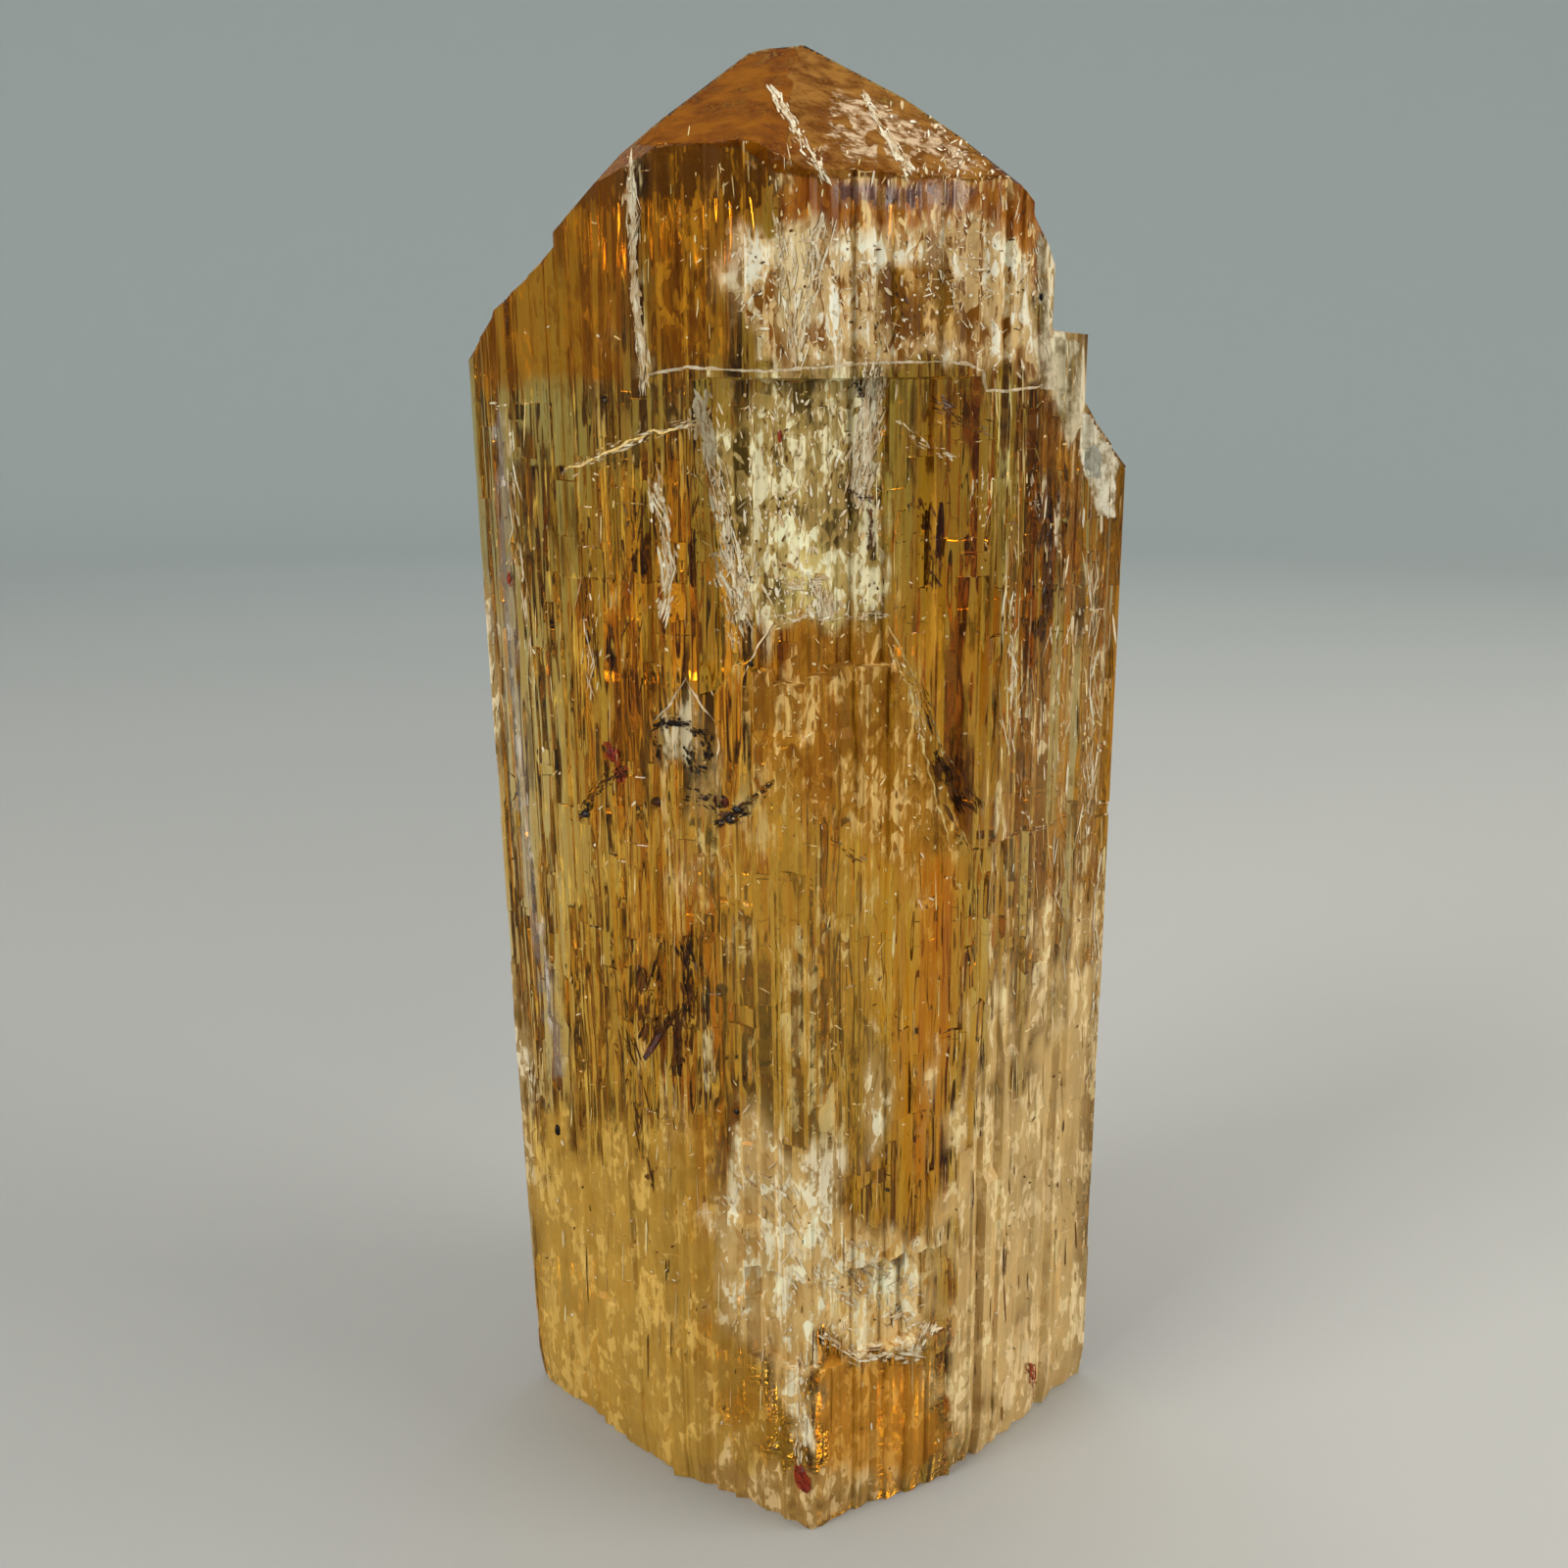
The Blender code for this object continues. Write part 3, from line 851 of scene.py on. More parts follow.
# Frosting seen from the front: outline, soft edge in pixels, darkest, middle and lightest colour on screen,
# how much it covers, and how grainy it is rather than streaky
FROSTING = [
    (LEFT_EDGE, 24, (74, 42, 4), (144, 98, 20), (248, 206, 92), 0.80, 0.0),
    (LEFT_MIDDLE, 24, (66, 34, 4), (132, 88, 16), (238, 186, 70), 0.70, 0.05),
    (FRONT_RIGHT, 30, (70, 40, 8), (136, 98, 36), (236, 202, 120), 0.75, 0.0),
    (LEFT_SHOULDER, 18, (110, 60, 2), (136, 80, 6), (166, 104, 16), 0.85, 0.45),
    (UPPER_MIDDLE, 14, (88, 46, 2), (128, 76, 8), (182, 124, 26), 0.90, 0.45),
    (TOP_BAND, 10, (104, 48, 4), (160, 96, 26), (242, 210, 146), 0.96, 0.60),
    (FROST, 20, (122, 74, 16), (212, 180, 124), (255, 250, 226), 0.97, 0.85),
    (FROST_WINDOW, 12, (92, 50, 8), (134, 86, 22), (214, 176, 108), 0.90, 0.7),
    (FAN, 12, (170, 140, 84), (236, 216, 170), (255, 252, 236), 0.95, 0.6),
    (COLUMN, 14, (70, 54, 18), (170, 144, 84), (255, 246, 202), 0.96, 0.75),
    (COLUMN_FOOT, 12, (120, 100, 40), (206, 188, 120), (255, 250, 214), 0.95, 0.7),
    (FLAP, 8, (112, 88, 32), (142, 114, 52), (178, 150, 88), 0.85, 0.3),
    (OLIVE_BAND, 5, (98, 78, 22), (136, 112, 42), (176, 152, 76), 0.85, 0.0),
    (RIGHT_MIDDLE, 10, (50, 24, 4), (118, 70, 12), (200, 144, 44), 0.85, 0.1),
    (RIGHT_STRIAE, 8, (80, 54, 14), (144, 120, 58), (238, 222, 146), 0.85, 0.0),
    (RIGHT_EDGE, 14, (88, 66, 34), (168, 142, 92), (246, 232, 192), 0.90, 0.1),
    (ORANGE_CORNER, 8, (110, 58, 6), (156, 96, 20), (196, 140, 50), 0.80, 0.3),
    (GABLE_ZONE, 18, (112, 66, 10), (152, 106, 34), (228, 192, 120), 0.80, 0.6),
    (GABLE_SIDES, 8, (118, 58, 4), (154, 88, 12), (196, 134, 44), 0.80, 0.2),
    (CLEAR_HOUSE, 2, (58, 46, 26), (128, 112, 74), (214, 202, 168), 0.92, 0.5),
    (MIDDLE_HAZE, 40, (122, 92, 36), (154, 122, 54), (214, 188, 120), 0.85, 0.40),
    (RIGHT_LOW_ORANGE, 12, (112, 64, 8), (156, 98, 22), (206, 152, 58), 0.75, 0.2),
    (LEFT_LOW, 50, (130, 90, 18), (162, 120, 34), (216, 176, 80), 0.87, 0.22),
    (AMBER_STRIP, 14, (138, 88, 14), (160, 108, 24), (190, 138, 44), 0.90, 0.5),
    (RIGHT_SIDE, 44, (152, 118, 62), (190, 156, 98), (236, 214, 164), 0.93, 0.32),
    (RIGHT_FOOT, 70, (190, 156, 98), (210, 178, 120), (236, 208, 156), 0.97, 0.64),
    (LEFT_BOTTOM, 70, (166, 126, 48), (182, 143, 63), (208, 170, 88), 0.97, 0.68),
    (LOWER_FRACTURE, 16, (172, 134, 74), (208, 176, 116), (255, 246, 212), 0.96, 0.70),
    (LOWER_PATCH, 10, (176, 130, 56), (238, 208, 146), (255, 248, 214), 0.95, 0.7),
    (UNDER_FRACTURE, 10, (160, 104, 28), (178, 122, 40), (202, 150, 66), 0.97, 0.66),
    (FOOT, 18, (142, 106, 52), (170, 134, 74), (214, 184, 130), 0.97, 0.72),
    (BROWN_SMEAR, 9, (34, 16, 4), (84, 46, 10), (150, 104, 36), 0.92, 0.35),
    (BROWN_BLOCK, 7, (36, 18, 6), (82, 44, 14), (140, 88, 34), 0.92, 0.35),
    (LILAC_EDGE, 6, (92, 50, 44), (146, 104, 92), (226, 196, 180), 0.92, 0.4),
    # Painted highlight: the glinting strip on the left shoulder
    (SILVER_GLINT_STRIP, 3, (150, 120, 50), (232, 212, 150), (255, 250, 222), 0.97, 0.5),
    # Painted reflection on a strip near the left edge
    (LILAC_REFLECTION_STRIP, 4, (104, 98, 90), (150, 144, 134), (206, 200, 190), 0.80, 0.45),
]
# The rest of the surface, all round, in four kinds that soft noise moves between
PLAIN_KINDS = [
    ((80, 46, 6), (136, 92, 20), (222, 180, 78), 0.70, 0.0),
    ((104, 56, 4), (138, 84, 12), (180, 126, 40), 0.70, 0.2),
    ((78, 56, 22), (152, 124, 70), (240, 220, 168), 0.85, 0.05),
    ((116, 86, 34), (178, 150, 98), (252, 238, 204), 0.92, 0.75),
]
GRAINY_SWAY = 16.0  # pixels that the edge of a fully grainy zone sways
BLOTCHINESS = 0.16
BARE = 0.03  # faces with less cover than this are left out


def frosting_row(dark, middle, light, cover, grain):
    return np.array([*paint(*dark), *paint(*middle), *paint(*light), cover, grain])


def frosting_attributes(mesh):
    """Colours, cover and grain of the frosting: from soft noise all round, and from the zones in front."""
    points = mesh_points(mesh)
    pixels = to_pixels(points)
    front = smooth(0.8 * MM, -0.8 * MM, points[:, 1])
    drift = noise_field(points, 0.34, 0.3, 31)
    other = noise_field(points, 0.5, 0.4, 44)
    shares = [1.0, smooth(0.05, 0.35, -drift), smooth(0.0, 0.3, drift), smooth(0.18, 0.34, other)]
    rows = np.zeros((len(points), 11))
    for share, kind in zip(shares, PLAIN_KINDS):
        rows += np.broadcast_to(share, (len(points),))[:, None] * (frosting_row(*kind) - rows)
    wobble = noise_field(points, 1.1, 0.5, 5)
    ripple = noise_field(points, 3.0, 0.5, 6)
    for outline, soft, *kind in FROSTING:
        sway = soft * (0.8 * wobble + 0.5 * ripple) + GRAINY_SWAY * kind[-1] * ripple
        edge = inside_polygon(pixels[:, 0] + sway, pixels[:, 1] + sway, outline)
        share = smooth(-soft * 0.5, soft * 0.8, edge) * front
        rows += share[:, None] * (frosting_row(*kind) - rows)
    blotch = 1.0 + BLOTCHINESS * ripple + BLOTCHINESS * wobble
    rows[:, :9] = np.clip(rows[:, :9] * blotch[:, None], 0.0, 0.98)
    for k, name in enumerate(("dark", "middle", "light")):
        set_colours(mesh, name, rows[:, 3 * k:3 * k + 3])
    at_back = smooth(-0.8 * MM, 0.8 * MM, points[:, 1])
    rows[:, 9] *= 1.0 - at_back * (1.0 - smooth(0.1, 0.5, rows[:, 10]))
    set_values(mesh, "cover", rows[:, 9])
    set_values(mesh, "grain", rows[:, 10])
    return rows[:, 9]


def drop_bare(mesh, cover):
    """Leave out the faces of the frosting that would cover nothing."""
    bm = bmesh.new()
    bm.from_mesh(mesh)
    bare = [face for face in bm.faces if max(cover[vert.index] for vert in face.verts) < BARE]
    bmesh.ops.delete(bm, geom=bare, context="FACES")
    bm.to_mesh(mesh)
    bm.free()


def finer(rings, step):
    """The same rings with more in between."""
    result = [rings[0]]
    for (low_points, low), (high_points, high) in zip(rings, rings[1:]):
        between = int(np.median(high - low) / step)
        for k in range(1, between + 1):
            t = k / (between + 1)
            result.append((low_points * (1 - t) + high_points * t, low * (1 - t) + high * t))
        result.append((high_points, high))
    return result


def cut_crystal(rings):
    """The closed crystal through the rings, with its termination cut."""
    bm = rings_to_mesh(rings)
    cut_termination(bm)
    bmesh.ops.recalc_face_normals(bm, faces=bm.faces[:])
    return bm


def store(name, bm):
    mesh = bpy.data.meshes.new(name)
    bm.to_mesh(mesh)
    bm.free()
    return mesh


def make_crystal():
    rings = build_column()
    bm = cut_crystal(rings)
    inside = Inside(bm)
    mesh = store("topaz_crystal_surface", bm)
    tint_attribute(mesh)
    crystal = link("topaz_crystal_surface", mesh, topaz_material())
    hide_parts(NODE)
    make_film(rings)
    return inside


# The frosting floats FILM_LIFT above the facets, from just above the base to the sloping top
FILM_LIFT = 0.008 * MM
FILM_STEP = 0.2 * MM
FILM_FOOT = 0.02 * MM
FILM_TOP = 31.0 * MM


def outside_the_film(face):
    """The sloping top and the base stay bare."""
    height = face.calc_center_median().z
    return height < FILM_FOOT or (face.normal.z > 0.7 and height > FILM_TOP)


def make_film(rings):
    """Thin frosting that follows every striation, all round."""
    bm = cut_crystal(finer(rings, FILM_STEP))
    bare = [face for face in bm.faces if outside_the_film(face)]
    bmesh.ops.delete(bm, geom=bare, context="FACES")
    bm.normal_update()
    for vert in bm.verts:
        vert.co += vert.normal * FILM_LIFT
    mesh = store("surface_frosting", bm)
    drop_bare(mesh, frosting_attributes(mesh))
    link("surface_frosting", mesh, film_material())


# Hazes on the top face and the small side crystals: outline, two colours, scale, strength,
# and how soft and how ragged the edge is. They float just above the surface, each above the last
HAZES = {
    "top_left_amber": (TOP_LEFT_FACE, (98, 50, 2), (126, 74, 6), 900, 0.93, 7, 3),
    "top_right_amber": (TOP_RIGHT_FACE, (96, 54, 6), (136, 92, 34), 1600, 0.94, 7, 3),
    "top_haze": (TOP_HAZE, (126, 86, 40), (206, 180, 146), 3200, 0.80, 34, 24),
    "knob_white": (KNOB, (168, 156, 124), (246, 240, 218), 2600, 0.80, 5, 4),
    "knob_facet": (KNOB_FACET, (132, 134, 124), (172, 172, 158), 3600, 0.7, 3, 2),
    "flat_crystal_white": (FLAT_CRYSTAL, (122, 108, 74), (214, 202, 168), 1600, 0.65, 5, 4),
    "rounded_crystal_white": (ROUNDED_CRYSTAL, (136, 124, 94), (226, 214, 184), 1600, 0.65, 4, 3),
}
HAZE_DEPTH = -0.016
HAZE_APART = 0.001


def make_hazes(inside):
    for number, (name, row) in enumerate(HAZES.items()):
        outline, dark, light, scale, most, soft, ragged = row
        material = haze_material(name.replace("_", " "), dark, light, scale, most)
        veil(name, inside, material, outline, HAZE_DEPTH - HAZE_APART * number, soft, ragged, number)


class Flakes:
    """Thin irregular six-sided flakes on the surface, which make one piece."""

    def __init__(self, inside, depth, rng):
        self.inside = inside
        self.depth = depth
        self.rng = rng
        self.verts = []
        self.faces = []
        self.shades = []

    def add(self, spot, along, long, wide):
        """One flake: its place in pixels, its direction, and its length and width in pixels."""
        across = np.array([-along[1], along[0]])
        corners = []
        for corner in range(6):
            turn = math.tau * corner / 6
            reach = self.rng.uniform(0.6, 1.1)
            ahead = along * (math.cos(turn) * long / 2 * reach)
            px, py = spot + ahead + across * (math.sin(turn) * wide / 2 * reach)
            place, _ = self.inside.point(px, py, (self.depth - self.rng.uniform(0.0, 0.02)) * MM)
            if place is None:
                return
            corners.append(place)
        first = len(self.verts)
        self.verts.extend(corners)
        self.shades.extend([self.rng.random()] * 6)
        self.faces.append(tuple(range(first, first + 6)))

    def finish(self, name, shade_name, dark, light, relief):
        material = solid_material(shade_name, dark, light, relief=relief, shaded=True)
        add_piece(name, self.verts, self.faces, material, self.shades, "shade")


def along_path(path, share):
    """The place at a share of a path's length, and its direction."""
    pts = np.array(path, float)
    legs = np.linalg.norm(np.diff(pts, axis=0), axis=1)
    left = share * legs.sum()
    for start, end, leg in zip(pts, pts[1:], legs):
        if left <= leg:
            return start + (end - start) * (left / leg), (end - start) / leg
        left -= leg
    return pts[-1], (pts[-1] - pts[-2]) / legs[-1]


# Cracks drawn by many small slivers: path in pixels, how many, how far they spread,
# longest and widest in pixels
# Bright slivers: partly real white fractures, partly painted highlights, glints of light drawn as bright
# flakes
BRIGHT_CRACKS_AND_GLINTS = [
    ([(712, 405), (722, 450), (735, 510), (748, 580), (765, 640)], 330, 8.4, 40, 6.5),
    ([(730, 560), (742, 610), (752, 660)], 90, 8.4, 26, 4.5),
    ([(894, 380), (888, 430), (879, 478), (872, 512)], 330, 12, 46, 7),
    ([(664, 488), (676, 530), (684, 585), (674, 628)], 110, 8, 46, 5),
    ([(785, 632), (840, 628), (905, 628)], 68, 4.2, 16, 3.1),
    ([(803, 590), (840, 600), (842, 628)], 120, 12.6, 22, 7),
    ([(712, 430), (660, 444), (630, 455)], 52, 5.6, 22, 3.7),
    ([(630, 455), (600, 470), (574, 484)], 30, 5.6, 16, 3.1),
    # Painted highlight: glints down the glinting strip on the left shoulder
    ([(643, 165), (647, 270), (650, 320), (657, 385)], 230, 3.4, 60, 6.0),
    ([(913, 432), (945, 458), (974, 470)], 38, 5.6, 16, 3.1),
    ([(796, 226), (800, 290), (812, 365)], 82, 8.4, 36, 4.3),
    ([(838, 222), (826, 290), (812, 365)], 112, 11.2, 40, 5.6),
    ([(788, 92), (812, 135), (842, 182)], 130, 4.6, 24, 4),
    ([(880, 97), (902, 135), (928, 177)], 130, 4.6, 24, 4),
    ([(838, 1362), (875, 1384), (935, 1380), (950, 1350)], 140, 5.6, 24, 5),
    ([(850, 1290), (900, 1330), (930, 1310)], 98, 33.6, 26, 6.2),
    ([(820, 1385), (817, 1430), (818, 1495)], 60, 8.4, 24, 3.7),
    ([(760, 1190), (800, 1240), (836, 1300)], 90, 33.6, 22, 3.7),
    ([(905, 655), (930, 700), (945, 760)], 30, 5.6, 12, 2.5),
    ([(502, 412), (518, 414)], 12, 2.8, 8, 2.5),
    ([(985, 120), (1010, 128), (1035, 150)], 30, 8.4, 12, 3.1),
    ([(930, 85), (980, 112), (1040, 170)], 120, 8, 14, 3.2),
    ([(655, 384), (700, 376)], 10, 1.4, 10, 2),
    ([(1052, 228), (1062, 300), (1072, 390)], 30, 7, 18, 2.5),
    ([(1045, 785), (1050, 850), (1046, 900)], 22, 11.2, 20, 2.5),
    ([(1052, 488), (1056, 520)], 18, 4.2, 16, 3.7),
    ([(870, 260), (890, 300), (905, 360)], 30, 5.6, 22, 2.5),
    ([(945, 255), (965, 275), (975, 312)], 27, 5.6, 18, 3.1),
    ([(1008, 480), (1000, 530)], 22, 11.2, 34, 2),
    ([(480, 540), (492, 620), (505, 720)], 30, 7, 26, 2.5),
    # Painted highlights: bright lines of reflected light down the right edge
    ([(1112, 560), (1114, 700), (1106, 860)], 80, 7, 56, 3),
    ([(1078, 640), (1082, 800), (1086, 1000)], 70, 9, 56, 2.8),
    ([(1120, 880), (1114, 1100)], 50, 5, 50, 2.6),
    ([(1030, 560), (1034, 700), (1030, 780)], 60, 6, 50, 2.6),
    ([(522, 440), (530, 560), (546, 700)], 60, 5, 50, 2.8),
    ([(600, 560), (604, 640), (600, 720)], 30, 9, 50, 2.4),
]
DARK_CRACKS = [
    ([(517, 305), (518, 345)], 16, 1, 24, 3),
    ([(700, 955), (705, 1035), (690, 1100)], 90, 9, 40, 6),
    ([(668, 985), (655, 1060)], 50, 9, 36, 5),
    ([(940, 505), (955, 600)], 50, 8, 26, 6),
    ([(942, 700), (960, 790)], 26, 5, 26, 4),
    ([(960, 775), (990, 830)], 80, 12, 34, 6),
    ([(1060, 500), (1070, 600), (1062, 650)], 90, 6, 44, 6),
    ([(1055, 450), (1062, 500)], 14, 5, 16, 4),
    ([(1085, 480), (1078, 620)], 40, 8, 34, 4),
    ([(603, 500), (600, 620), (612, 700)], 40, 8, 44, 4),
    ([(655, 470), (648, 560), (640, 700)], 60, 14, 40, 4),
    ([(708, 480), (710, 620)], 30, 6, 40, 3),
    ([(888, 520), (890, 570)], 30, 4, 26, 4),
    ([(875, 385), (880, 405)], 30, 5, 9, 5),
    ([(865, 500), (890, 510)], 26, 3, 9, 4),
    ([(590, 835), (612, 800), (640, 785)], 70, 5, 12, 4),
    ([(755, 828), (790, 797)], 36, 3, 8, 4),
    ([(735, 838), (760, 826)], 50, 6, 12, 5),
    ([(950, 410), (1010, 440)], 60, 12, 16, 4),
    ([(905, 265), (930, 330)], 24, 14, 16, 5),
    ([(640, 1060), (668, 1210)], 40, 10, 44, 3),
    ([(850, 860), (880, 880)], 20, 5, 12, 3),
]
BLACK_CRACKS = [
    ([(667, 746), (680, 736), (706, 738)], 60, 5, 11, 7),
    ([(708, 742), (722, 752), (724, 772)], 50, 5, 12, 7),
    ([(700, 762), (708, 785), (722, 788)], 40, 6, 11, 7),
    ([(668, 752), (674, 776)], 24, 4, 10, 6),
    ([(702, 808), (740, 822)], 40, 10, 9, 6),
    ([(592, 836), (604, 822)], 34, 4, 9, 5),
    ([(604, 812), (640, 786)], 26, 4, 8, 3),
    ([(730, 840), (760, 828)], 46, 5, 11, 5),
    ([(758, 824), (792, 796)], 30, 3, 7, 3),
    ([(872, 386), (882, 404)], 26, 5, 7, 4),
    ([(864, 502), (888, 508)], 20, 3, 7, 3),
    ([(700, 962), (704, 1030)], 40, 5, 26, 5),
    ([(800, 462), (806, 520)], 12, 12, 6, 3),
    ([(516, 306), (518, 344)], 12, 1, 20, 2),
]
RED_CRACKS = [
    ([(622, 757), (636, 798)], 50, 5, 12, 7),
    ([(811, 1500), (824, 1514)], 40, 5, 12, 8),
    ([(1050, 1392), (1056, 1420)], 30, 4, 12, 5),
    ([(519, 582), (521, 598)], 12, 1, 8, 4),
    ([(796, 440), (797, 450)], 8, 1, 8, 3),
]

# Kinds of crack: paths, material, its two shades, its relief and the flakes' depth in millimetres
CRACKS = {
    # The bright slivers are white fractures together with painted glints of light
    "bright_crack_and_glint_slivers": (BRIGHT_CRACKS_AND_GLINTS, "bright crack and painted glint", (160, 116, 40), (255, 250, 222), 0.6, -0.022),
    "dark_slivers": (DARK_CRACKS, "dark crack", (26, 14, 6), (110, 64, 18), 0.2, -0.019),
    "black_slivers": (BLACK_CRACKS, "black speck", (8, 6, 6), (52, 36, 24), 0.2, -0.026),
    "red_slivers": (RED_CRACKS, "red stain", (96, 26, 10), (168, 76, 30), 0.2, -0.021),
}
CRACK_SEED = 80


def make_cracks(inside):
    for number, (name, (rows, *look, depth)) in enumerate(CRACKS.items()):
        rng = random.Random(number + CRACK_SEED)
        flakes = Flakes(inside, depth, rng)
        for path, count, spread, longest, widest in rows:
            for _ in range(count):
                spot, along = along_path(path, rng.random())
                across = np.array([-along[1], along[0]])
                spot = spot + across * rng.gauss(0.0, spread * 0.6)
                turn = along + across * rng.gauss(0.0, 0.18)
                turn = turn / np.linalg.norm(turn)
                long = 2.0 + (longest - 2.0) * rng.random() ** 2
                wide = min(long * 0.6, 1.0 + (widest - 1.0) * rng.random() ** 2)
                flakes.add(spot, turn, long, wide)
        flakes.finish(name, *look)


# Fine slivers strewn over zones: outline, how many, longest and widest in pixels, and how far they turn
GOLD_STREWN = [
    (STRIATED, 600, 70, 2.8, 0.03),
    (WHOLE_FRONT, 500, 12, 3.0, 1.4),
    (RIGHT_STRIAE, 120, 90, 2.4, 0.01),
    (GABLE_ZONE, 300, 12, 3.0, 1.2),
    (MIDDLE_HAZE, 200, 18, 2.6, 0.9),
    (TOP_BAND, 120, 26, 4.0, 0.3),
    (UPPER_MIDDLE, 100, 40, 2.6, 0.05),
    (RIGHT_PALE, 260, 60, 2.6, 0.03),
]
# Painted glints: small bright flakes that stand for sparkles of light on the frost, the column and the edges
PAINTED_GLINTS_STREWN = [
    (FROST, 900, 15, 4.5, 0.8),
    (COLUMN, 900, 18, 4.5, 0.35),
    (COLUMN_FOOT, 120, 14, 5.0, 0.5),
    (LOWER_FRACTURE, 360, 22, 4.0, 0.6),
    (LOWER_PATCH, 160, 22, 5.0, 0.8),
    (TOP_GLITTER, 260, 11, 4.0, 1.4),
    (TOP_BAND, 160, 34, 3.4, 0.2),
    (SILVER_GLINT_STRIP, 60, 60, 3.0, 0.02),
    (WHOLE_FRONT, 500, 9, 3.5, 1.4),
    (RIGHT_EDGE, 120, 40, 3.5, 0.1),
]
DARK_STREWN = [
    (STRIATED, 320, 70, 2.4, 0.03),
    (COLUMN, 260, 12, 3.5, 0.6),
    (FROST, 160, 14, 4.0, 1.0),
    (WHOLE_FRONT, 200, 9, 3.0, 1.4),
    (RIGHT_STRIAE, 60, 80, 2.0, 0.01),
    (RIGHT_PALE, 90, 60, 2.2, 0.03),
]

# Kinds of strewn flake, in the same terms as the cracks
STREWN = {
    "gold_strewn": (GOLD_STREWN, "golden streak", (166, 118, 34), (255, 238, 174), 0.6, -0.014),
    # The pale flakes are painted glints of light
    "painted_glints_strewn": (PAINTED_GLINTS_STREWN, "pale glint", (196, 160, 98), (255, 250, 226), 0.6, -0.018),
    "dark_strewn": (DARK_STREWN, "brown streak", (48, 26, 6), (124, 80, 22), 0.2, -0.013),
}
STREWN_SEED = 120


def make_strewn(inside):
    for number, (name, (rows, *look, depth)) in enumerate(STREWN.items()):
        rng = random.Random(number + STREWN_SEED)
        flakes = Flakes(inside, depth, rng)
        for outline, count, longest, widest, turning in rows:
            pts = np.array(outline, float)
            low, high = pts.min(axis=0), pts.max(axis=0)
            for _ in range(count):
                px, py = rng.uniform(low[0], high[0]), rng.uniform(low[1], high[1])
                clump = noise(px, py * 0.3, number * 9.0, 0.03, 17)
                outside = inside_polygon(np.array([px]), np.array([py]), pts)[0] < 0
                if outside or clump < rng.uniform(-0.6, 0.3):
                    continue
                angle = rng.gauss(0.0, turning)
                along = np.array([math.sin(angle), math.cos(angle)])
                long = 3.0 + (longest - 3.0) * rng.random() ** 2.5
                wide = 1.0 + (widest - 1.0) * rng.random() ** 2
                flakes.add(np.array([px, py]), along, long, wide)
        flakes.finish(name, *look)


def lump(verts, faces, place, normal, wide, tall, thick, rng):
    """One irregular rounded grain, flattened towards the face."""
    bm = bmesh.new()
    bmesh.ops.create_icosphere(bm, subdivisions=2, radius=1.0)
    up = Vector((0.0, 0.0, 1.0))
    up = (up - normal * up.dot(normal)).normalized()
    side = normal.cross(up).normalized()
    shift = rng.uniform(0, 50)
    first = len(verts)
    for v in bm.verts:
        swell = 1.0 + 0.35 * noise(v.co.x + shift, v.co.y, v.co.z, 1.3)
        x, y, z = v.co * swell
        verts.append(place + side * (x * wide) + up * (y * tall) + normal * (z * thick))
    faces.extend(tuple(first + v.index for v in f.verts) for f in bm.faces)
    bm.free()


# Mineral grains in the crystal: pixel place, half width and half height in pixels, depth in millimetres
GRAINS = {
    "black_grains": ((10, 7, 6), (34, 22, 16), [
        (570, 1153, 4.5, 6, 0.0), (588, 1380, 5, 8, 0.15), (618, 408, 6, 4, 0.05), (745, 836, 9, 5, 0.0),
        (752, 826, 5, 4, 0.0), (598, 831, 5, 4, 0.0), (765, 678, 4, 3, 0.05), (752, 1134, 3, 3, 0.0),
        (906, 1214, 3, 2, 0.0), (1062, 303, 3, 4, 0.0),
    ]),
    "maroon_grains": ((40, 14, 8), (84, 34, 14), [
        (650, 575, 10, 12, 0.45), (618, 600, 4, 20, 0.4), (599, 650, 7, 8, 0.4), (622, 662, 6, 24, 0.45),
        (553, 610, 2, 12, 0.3), (708, 575, 2, 26, 0.2), (655, 1000, 7, 16, 0.35), (678, 1040, 5, 50, 0.35),
        (645, 965, 5, 8, 0.3), (735, 1010, 8, 8, 0.3), (1068, 575, 7, 70, 0.35),
        (1060, 640, 7, 10, 0.2), (945, 560, 6, 40, 0.35), (960, 540, 4, 30, 0.35), (590, 1310, 4, 5, 0.1),
        (735, 818, 10, 8, 0.05), (670, 818, 6, 5, 0.05), (690, 1065, 4, 40, 0.3), (720, 1020, 3, 26, 0.3),
    ]),
    "red_grains": ((92, 18, 8), (150, 50, 22), [
        (817, 1508, 12, 14, 0.0), (1053, 1405, 8, 16, 0.05), (626, 770, 9, 8, 0.05), (634, 790, 8, 9, 0.05),
        (520, 590, 3, 6, 0.0), (796, 445, 3, 7, 0.0), (818, 1503, 7, 8, -0.02),
    ]),
}
GRAIN_THICK = 0.06 * MM
GRAIN_SEED = 60


def make_grains(inside):
    for number, (name, (dark, light, places)) in enumerate(GRAINS.items()):
        rng = random.Random(number + GRAIN_SEED)
        verts, faces = [], []
        for px, py, wide, tall, depth in places:
            place, normal = inside.point(px, py, depth * MM)
            if place is None:
                continue
            per_pixel = (place - Vector(CAMERA_PLACE)).length / FOCAL_PIXELS
            lump(verts, faces, place, normal, wide * per_pixel, tall * per_pixel, GRAIN_THICK, rng)
        material = solid_material(name.replace("_", " "), dark, light, along=1.0, roughness=0.25)
        add_piece(name, verts, faces, material)


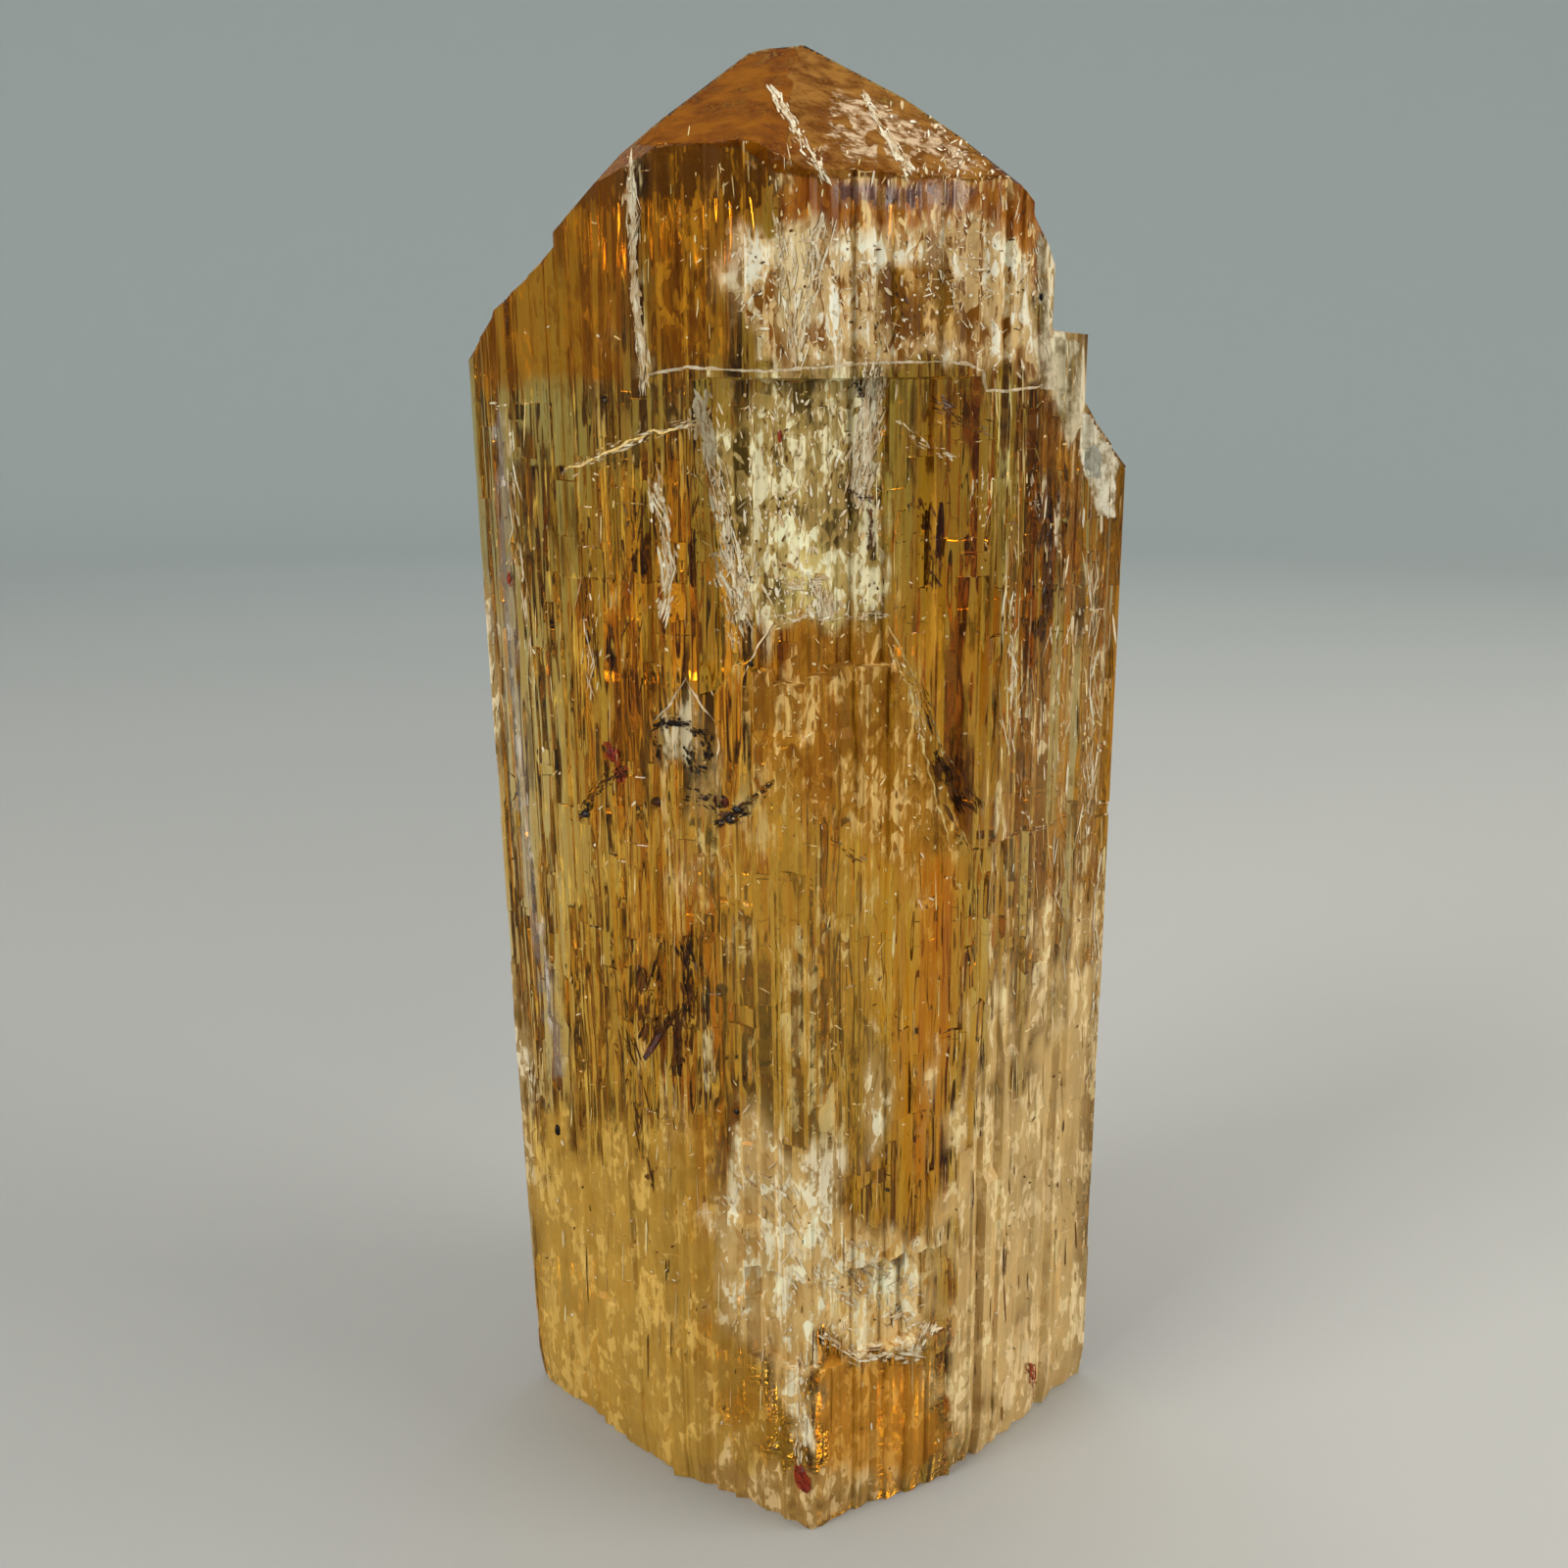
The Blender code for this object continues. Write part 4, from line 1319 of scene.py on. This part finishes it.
# Thin continuous lines: path in pixels, width in pixels, how ragged, and the kind of line
LINES = {
    "cleavage_left": ([(650, 384), (700, 375), (780, 379), (900, 370), (962, 369)], 3, 1.0, "cream"),
    "cleavage_right": (
        [(956, 368), (985, 372), (1002, 379), (1007, 398), (1030, 399), (1070, 391)], 3, 3, "cream"
    ),
    "gable_right": ([(902, 630), (945, 715), (970, 800), (990, 870)], 1.6, 2, "gold"),
    "gable_right_inner": ([(905, 650), (925, 700), (940, 760), (968, 860)], 2, 4, "gold"),
    "gable_left": ([(790, 634), (772, 662), (758, 692)], 2, 2, "cream"),
    "flap_crack": ([(712, 432), (668, 441), (632, 456), (575, 482)], 3, 5, "gold"),
    "rim_left": ([(645, 142), (680, 106), (730, 68), (775, 52)], 7, 5, "rim"),
    "rim_right": ([(795, 54), (860, 72), (930, 112), (1000, 155), (1045, 185)], 8, 6, "rim"),
    "top_edge_left": ([(642, 150), (700, 150), (757, 156), (790, 181)], 2, 2, "rim"),
    "top_edge_right": ([(790, 182), (860, 184), (940, 182), (1045, 186)], 3, 3, "rim"),
    "roof_left": ([(664, 740), (682, 722), (700, 691)], 2.4, 2, "cream"),
    "roof_right": ([(700, 691), (712, 714), (731, 738)], 2.4, 2, "cream"),
    "house_wall": ([(731, 738), (733, 764), (728, 790)], 2.2, 2, "cream"),
    "cross_line": ([(625, 515), (640, 513), (668, 516)], 2, 1, "gold"),
}


def make_lines(inside):
    kinds = {
        "cream": solid_material("crack edge", (214, 190, 146), (250, 236, 210), along=1.0),
        "gold": solid_material("golden edge", (204, 160, 70), (250, 228, 160), along=1.0),
        "rim": solid_material("worn rim", (150, 100, 60), (214, 176, 138), along=1.0, scale=4000.0),
    }
    for number, (name, (path, width, ragged, kind)) in enumerate(LINES.items()):
        ribbon(name, inside, kinds[kind], path, width, ragged, number)


def make_camera():
    data = bpy.data.cameras.new("camera")
    data.lens = LENS
    data.sensor_width = SENSOR
    data.clip_start = 0.001
    data.clip_end = 10.0
    camera = bpy.data.objects.new("camera", data)
    camera.location = CAMERA_PLACE
    camera.rotation_euler = (math.radians(90.0 - CAMERA_DOWN), 0.0, 0.0)
    bpy.context.scene.collection.objects.link(camera)
    bpy.context.scene.camera = camera


# Stage, in metres: how far its flat middle, its wall and the curve between them reach, and its height
STAGE_MIDDLE = 0.05
STAGE_WALL = 0.34
STAGE_CURVE = 0.14
STAGE_HEIGHT = 0.9
STAGE_SIDES = 96
CURVE_STEPS = 16
STAGE_GAP = 0.00001  # the floor lies this far under the crystal


def stage_material():
    """Pale grey, a little bluer towards the wall, with painted light: the floor is lighter on its right than
    on its left.
    """
    n = Nodes("stage")
    split = n.add("ShaderNodeSeparateXYZ", Vector=n.add("ShaderNodeTexCoord").outputs["Object"])
    # Painted light: the right of the floor gets a paler grey than the left
    near = mix_colour(n, ramp(n, split.outputs["X"], -0.02, 0.02), (0.34, 0.345, 0.33), (0.42, 0.42, 0.395))
    back = ramp(n, split.outputs["Y"], 0.02, 0.25)
    return n.surface(Base_Color=mix_colour(n, back, near, (0.35, 0.40, 0.395)), Roughness=0.7)


def make_stage():
    """A pale round floor that curves up into a wall far away on every side."""
    profile = [(STAGE_MIDDLE, 0.0)]
    for k in range(CURVE_STEPS + 1):
        a = math.pi / 2 * k / CURVE_STEPS
        away = STAGE_WALL - STAGE_CURVE + STAGE_CURVE * math.sin(a)
        profile.append((away, STAGE_CURVE * (1.0 - math.cos(a))))
    profile.append((STAGE_WALL, STAGE_HEIGHT))
    turns = [math.tau * k / STAGE_SIDES for k in range(STAGE_SIDES)]
    verts = [(r * math.sin(a), r * math.cos(a), z - STAGE_GAP) for r, z in profile for a in turns]
    faces = [tuple(reversed(range(STAGE_SIDES)))]
    for level in range(len(profile) - 1):
        for k in range(STAGE_SIDES):
            low, high = level * STAGE_SIDES, (level + 1) * STAGE_SIDES
            after = (k + 1) % STAGE_SIDES
            faces.append((low + k, low + after, high + after, high + k))
    mesh = bpy.data.meshes.new("stage")
    mesh.from_pydata(verts, [], faces)
    mesh.shade_smooth()
    mesh.materials.append(stage_material())
    floor = bpy.data.objects.new("stage", mesh)
    bpy.context.scene.collection.objects.link(floor)
    floor.visible_glossy = False


def soft_box(name, place, target, size, radiance, colour=(1.0, 1.0, 1.0)):
    data = bpy.data.lights.new(name, "AREA")
    data.shape = "RECTANGLE"
    data.size, data.size_y = size
    data.energy = radiance * math.pi * size[0] * size[1]
    data.color = colour
    lamp = bpy.data.objects.new(name, data)
    lamp.location = place
    lamp.rotation_euler = (Vector(target) - Vector(place)).to_track_quat("-Z", "Y").to_euler()
    bpy.context.scene.collection.objects.link(lamp)


SKY = (0.86, 0.92, 0.94)
SKY_STRENGTH = 0.12
WARM = (1.0, 0.96, 0.90)
MIDDLE = (0.0, 0.0, 0.018)  # half way up the crystal


def make_lights():
    world = bpy.data.worlds.new("studio")
    bpy.context.scene.world = world
    world.use_nodes = True
    background = world.node_tree.nodes["Background"]
    background.inputs["Color"].default_value = (*SKY, 1.0)
    background.inputs["Strength"].default_value = SKY_STRENGTH
    soft_box("overhead", (0.0, 0.06, 0.34), (0.0, 0.06, 0.0), (0.34, 0.30), 2.6)
    soft_box("key", (-0.16, -0.12, 0.15), MIDDLE, (0.10, 0.14), 9.0, WARM)
    soft_box("fill", (0.20, -0.05, 0.12), MIDDLE, (0.12, 0.16), 5.6, WARM)


def set_cycles():
    """Few bounces and a denoiser keep the full render short."""
    scene = bpy.context.scene
    scene.view_settings.view_transform = "Standard"
    scene.cycles.max_bounces = 5
    scene.cycles.transmission_bounces = 5
    scene.cycles.transparent_max_bounces = 8
    scene.cycles.glossy_bounces = 4
    scene.cycles.sample_clamp_indirect = 4.0
    scene.cycles.use_adaptive_sampling = True
    scene.cycles.adaptive_threshold = 0.14
    scene.cycles.use_denoising = True


def main():
    make_camera()
    make_stage()
    make_lights()
    set_cycles()
    inside = make_crystal()
    make_hazes(inside)
    make_cracks(inside)
    make_strewn(inside)
    make_lines(inside)
    make_grains(inside)


main()
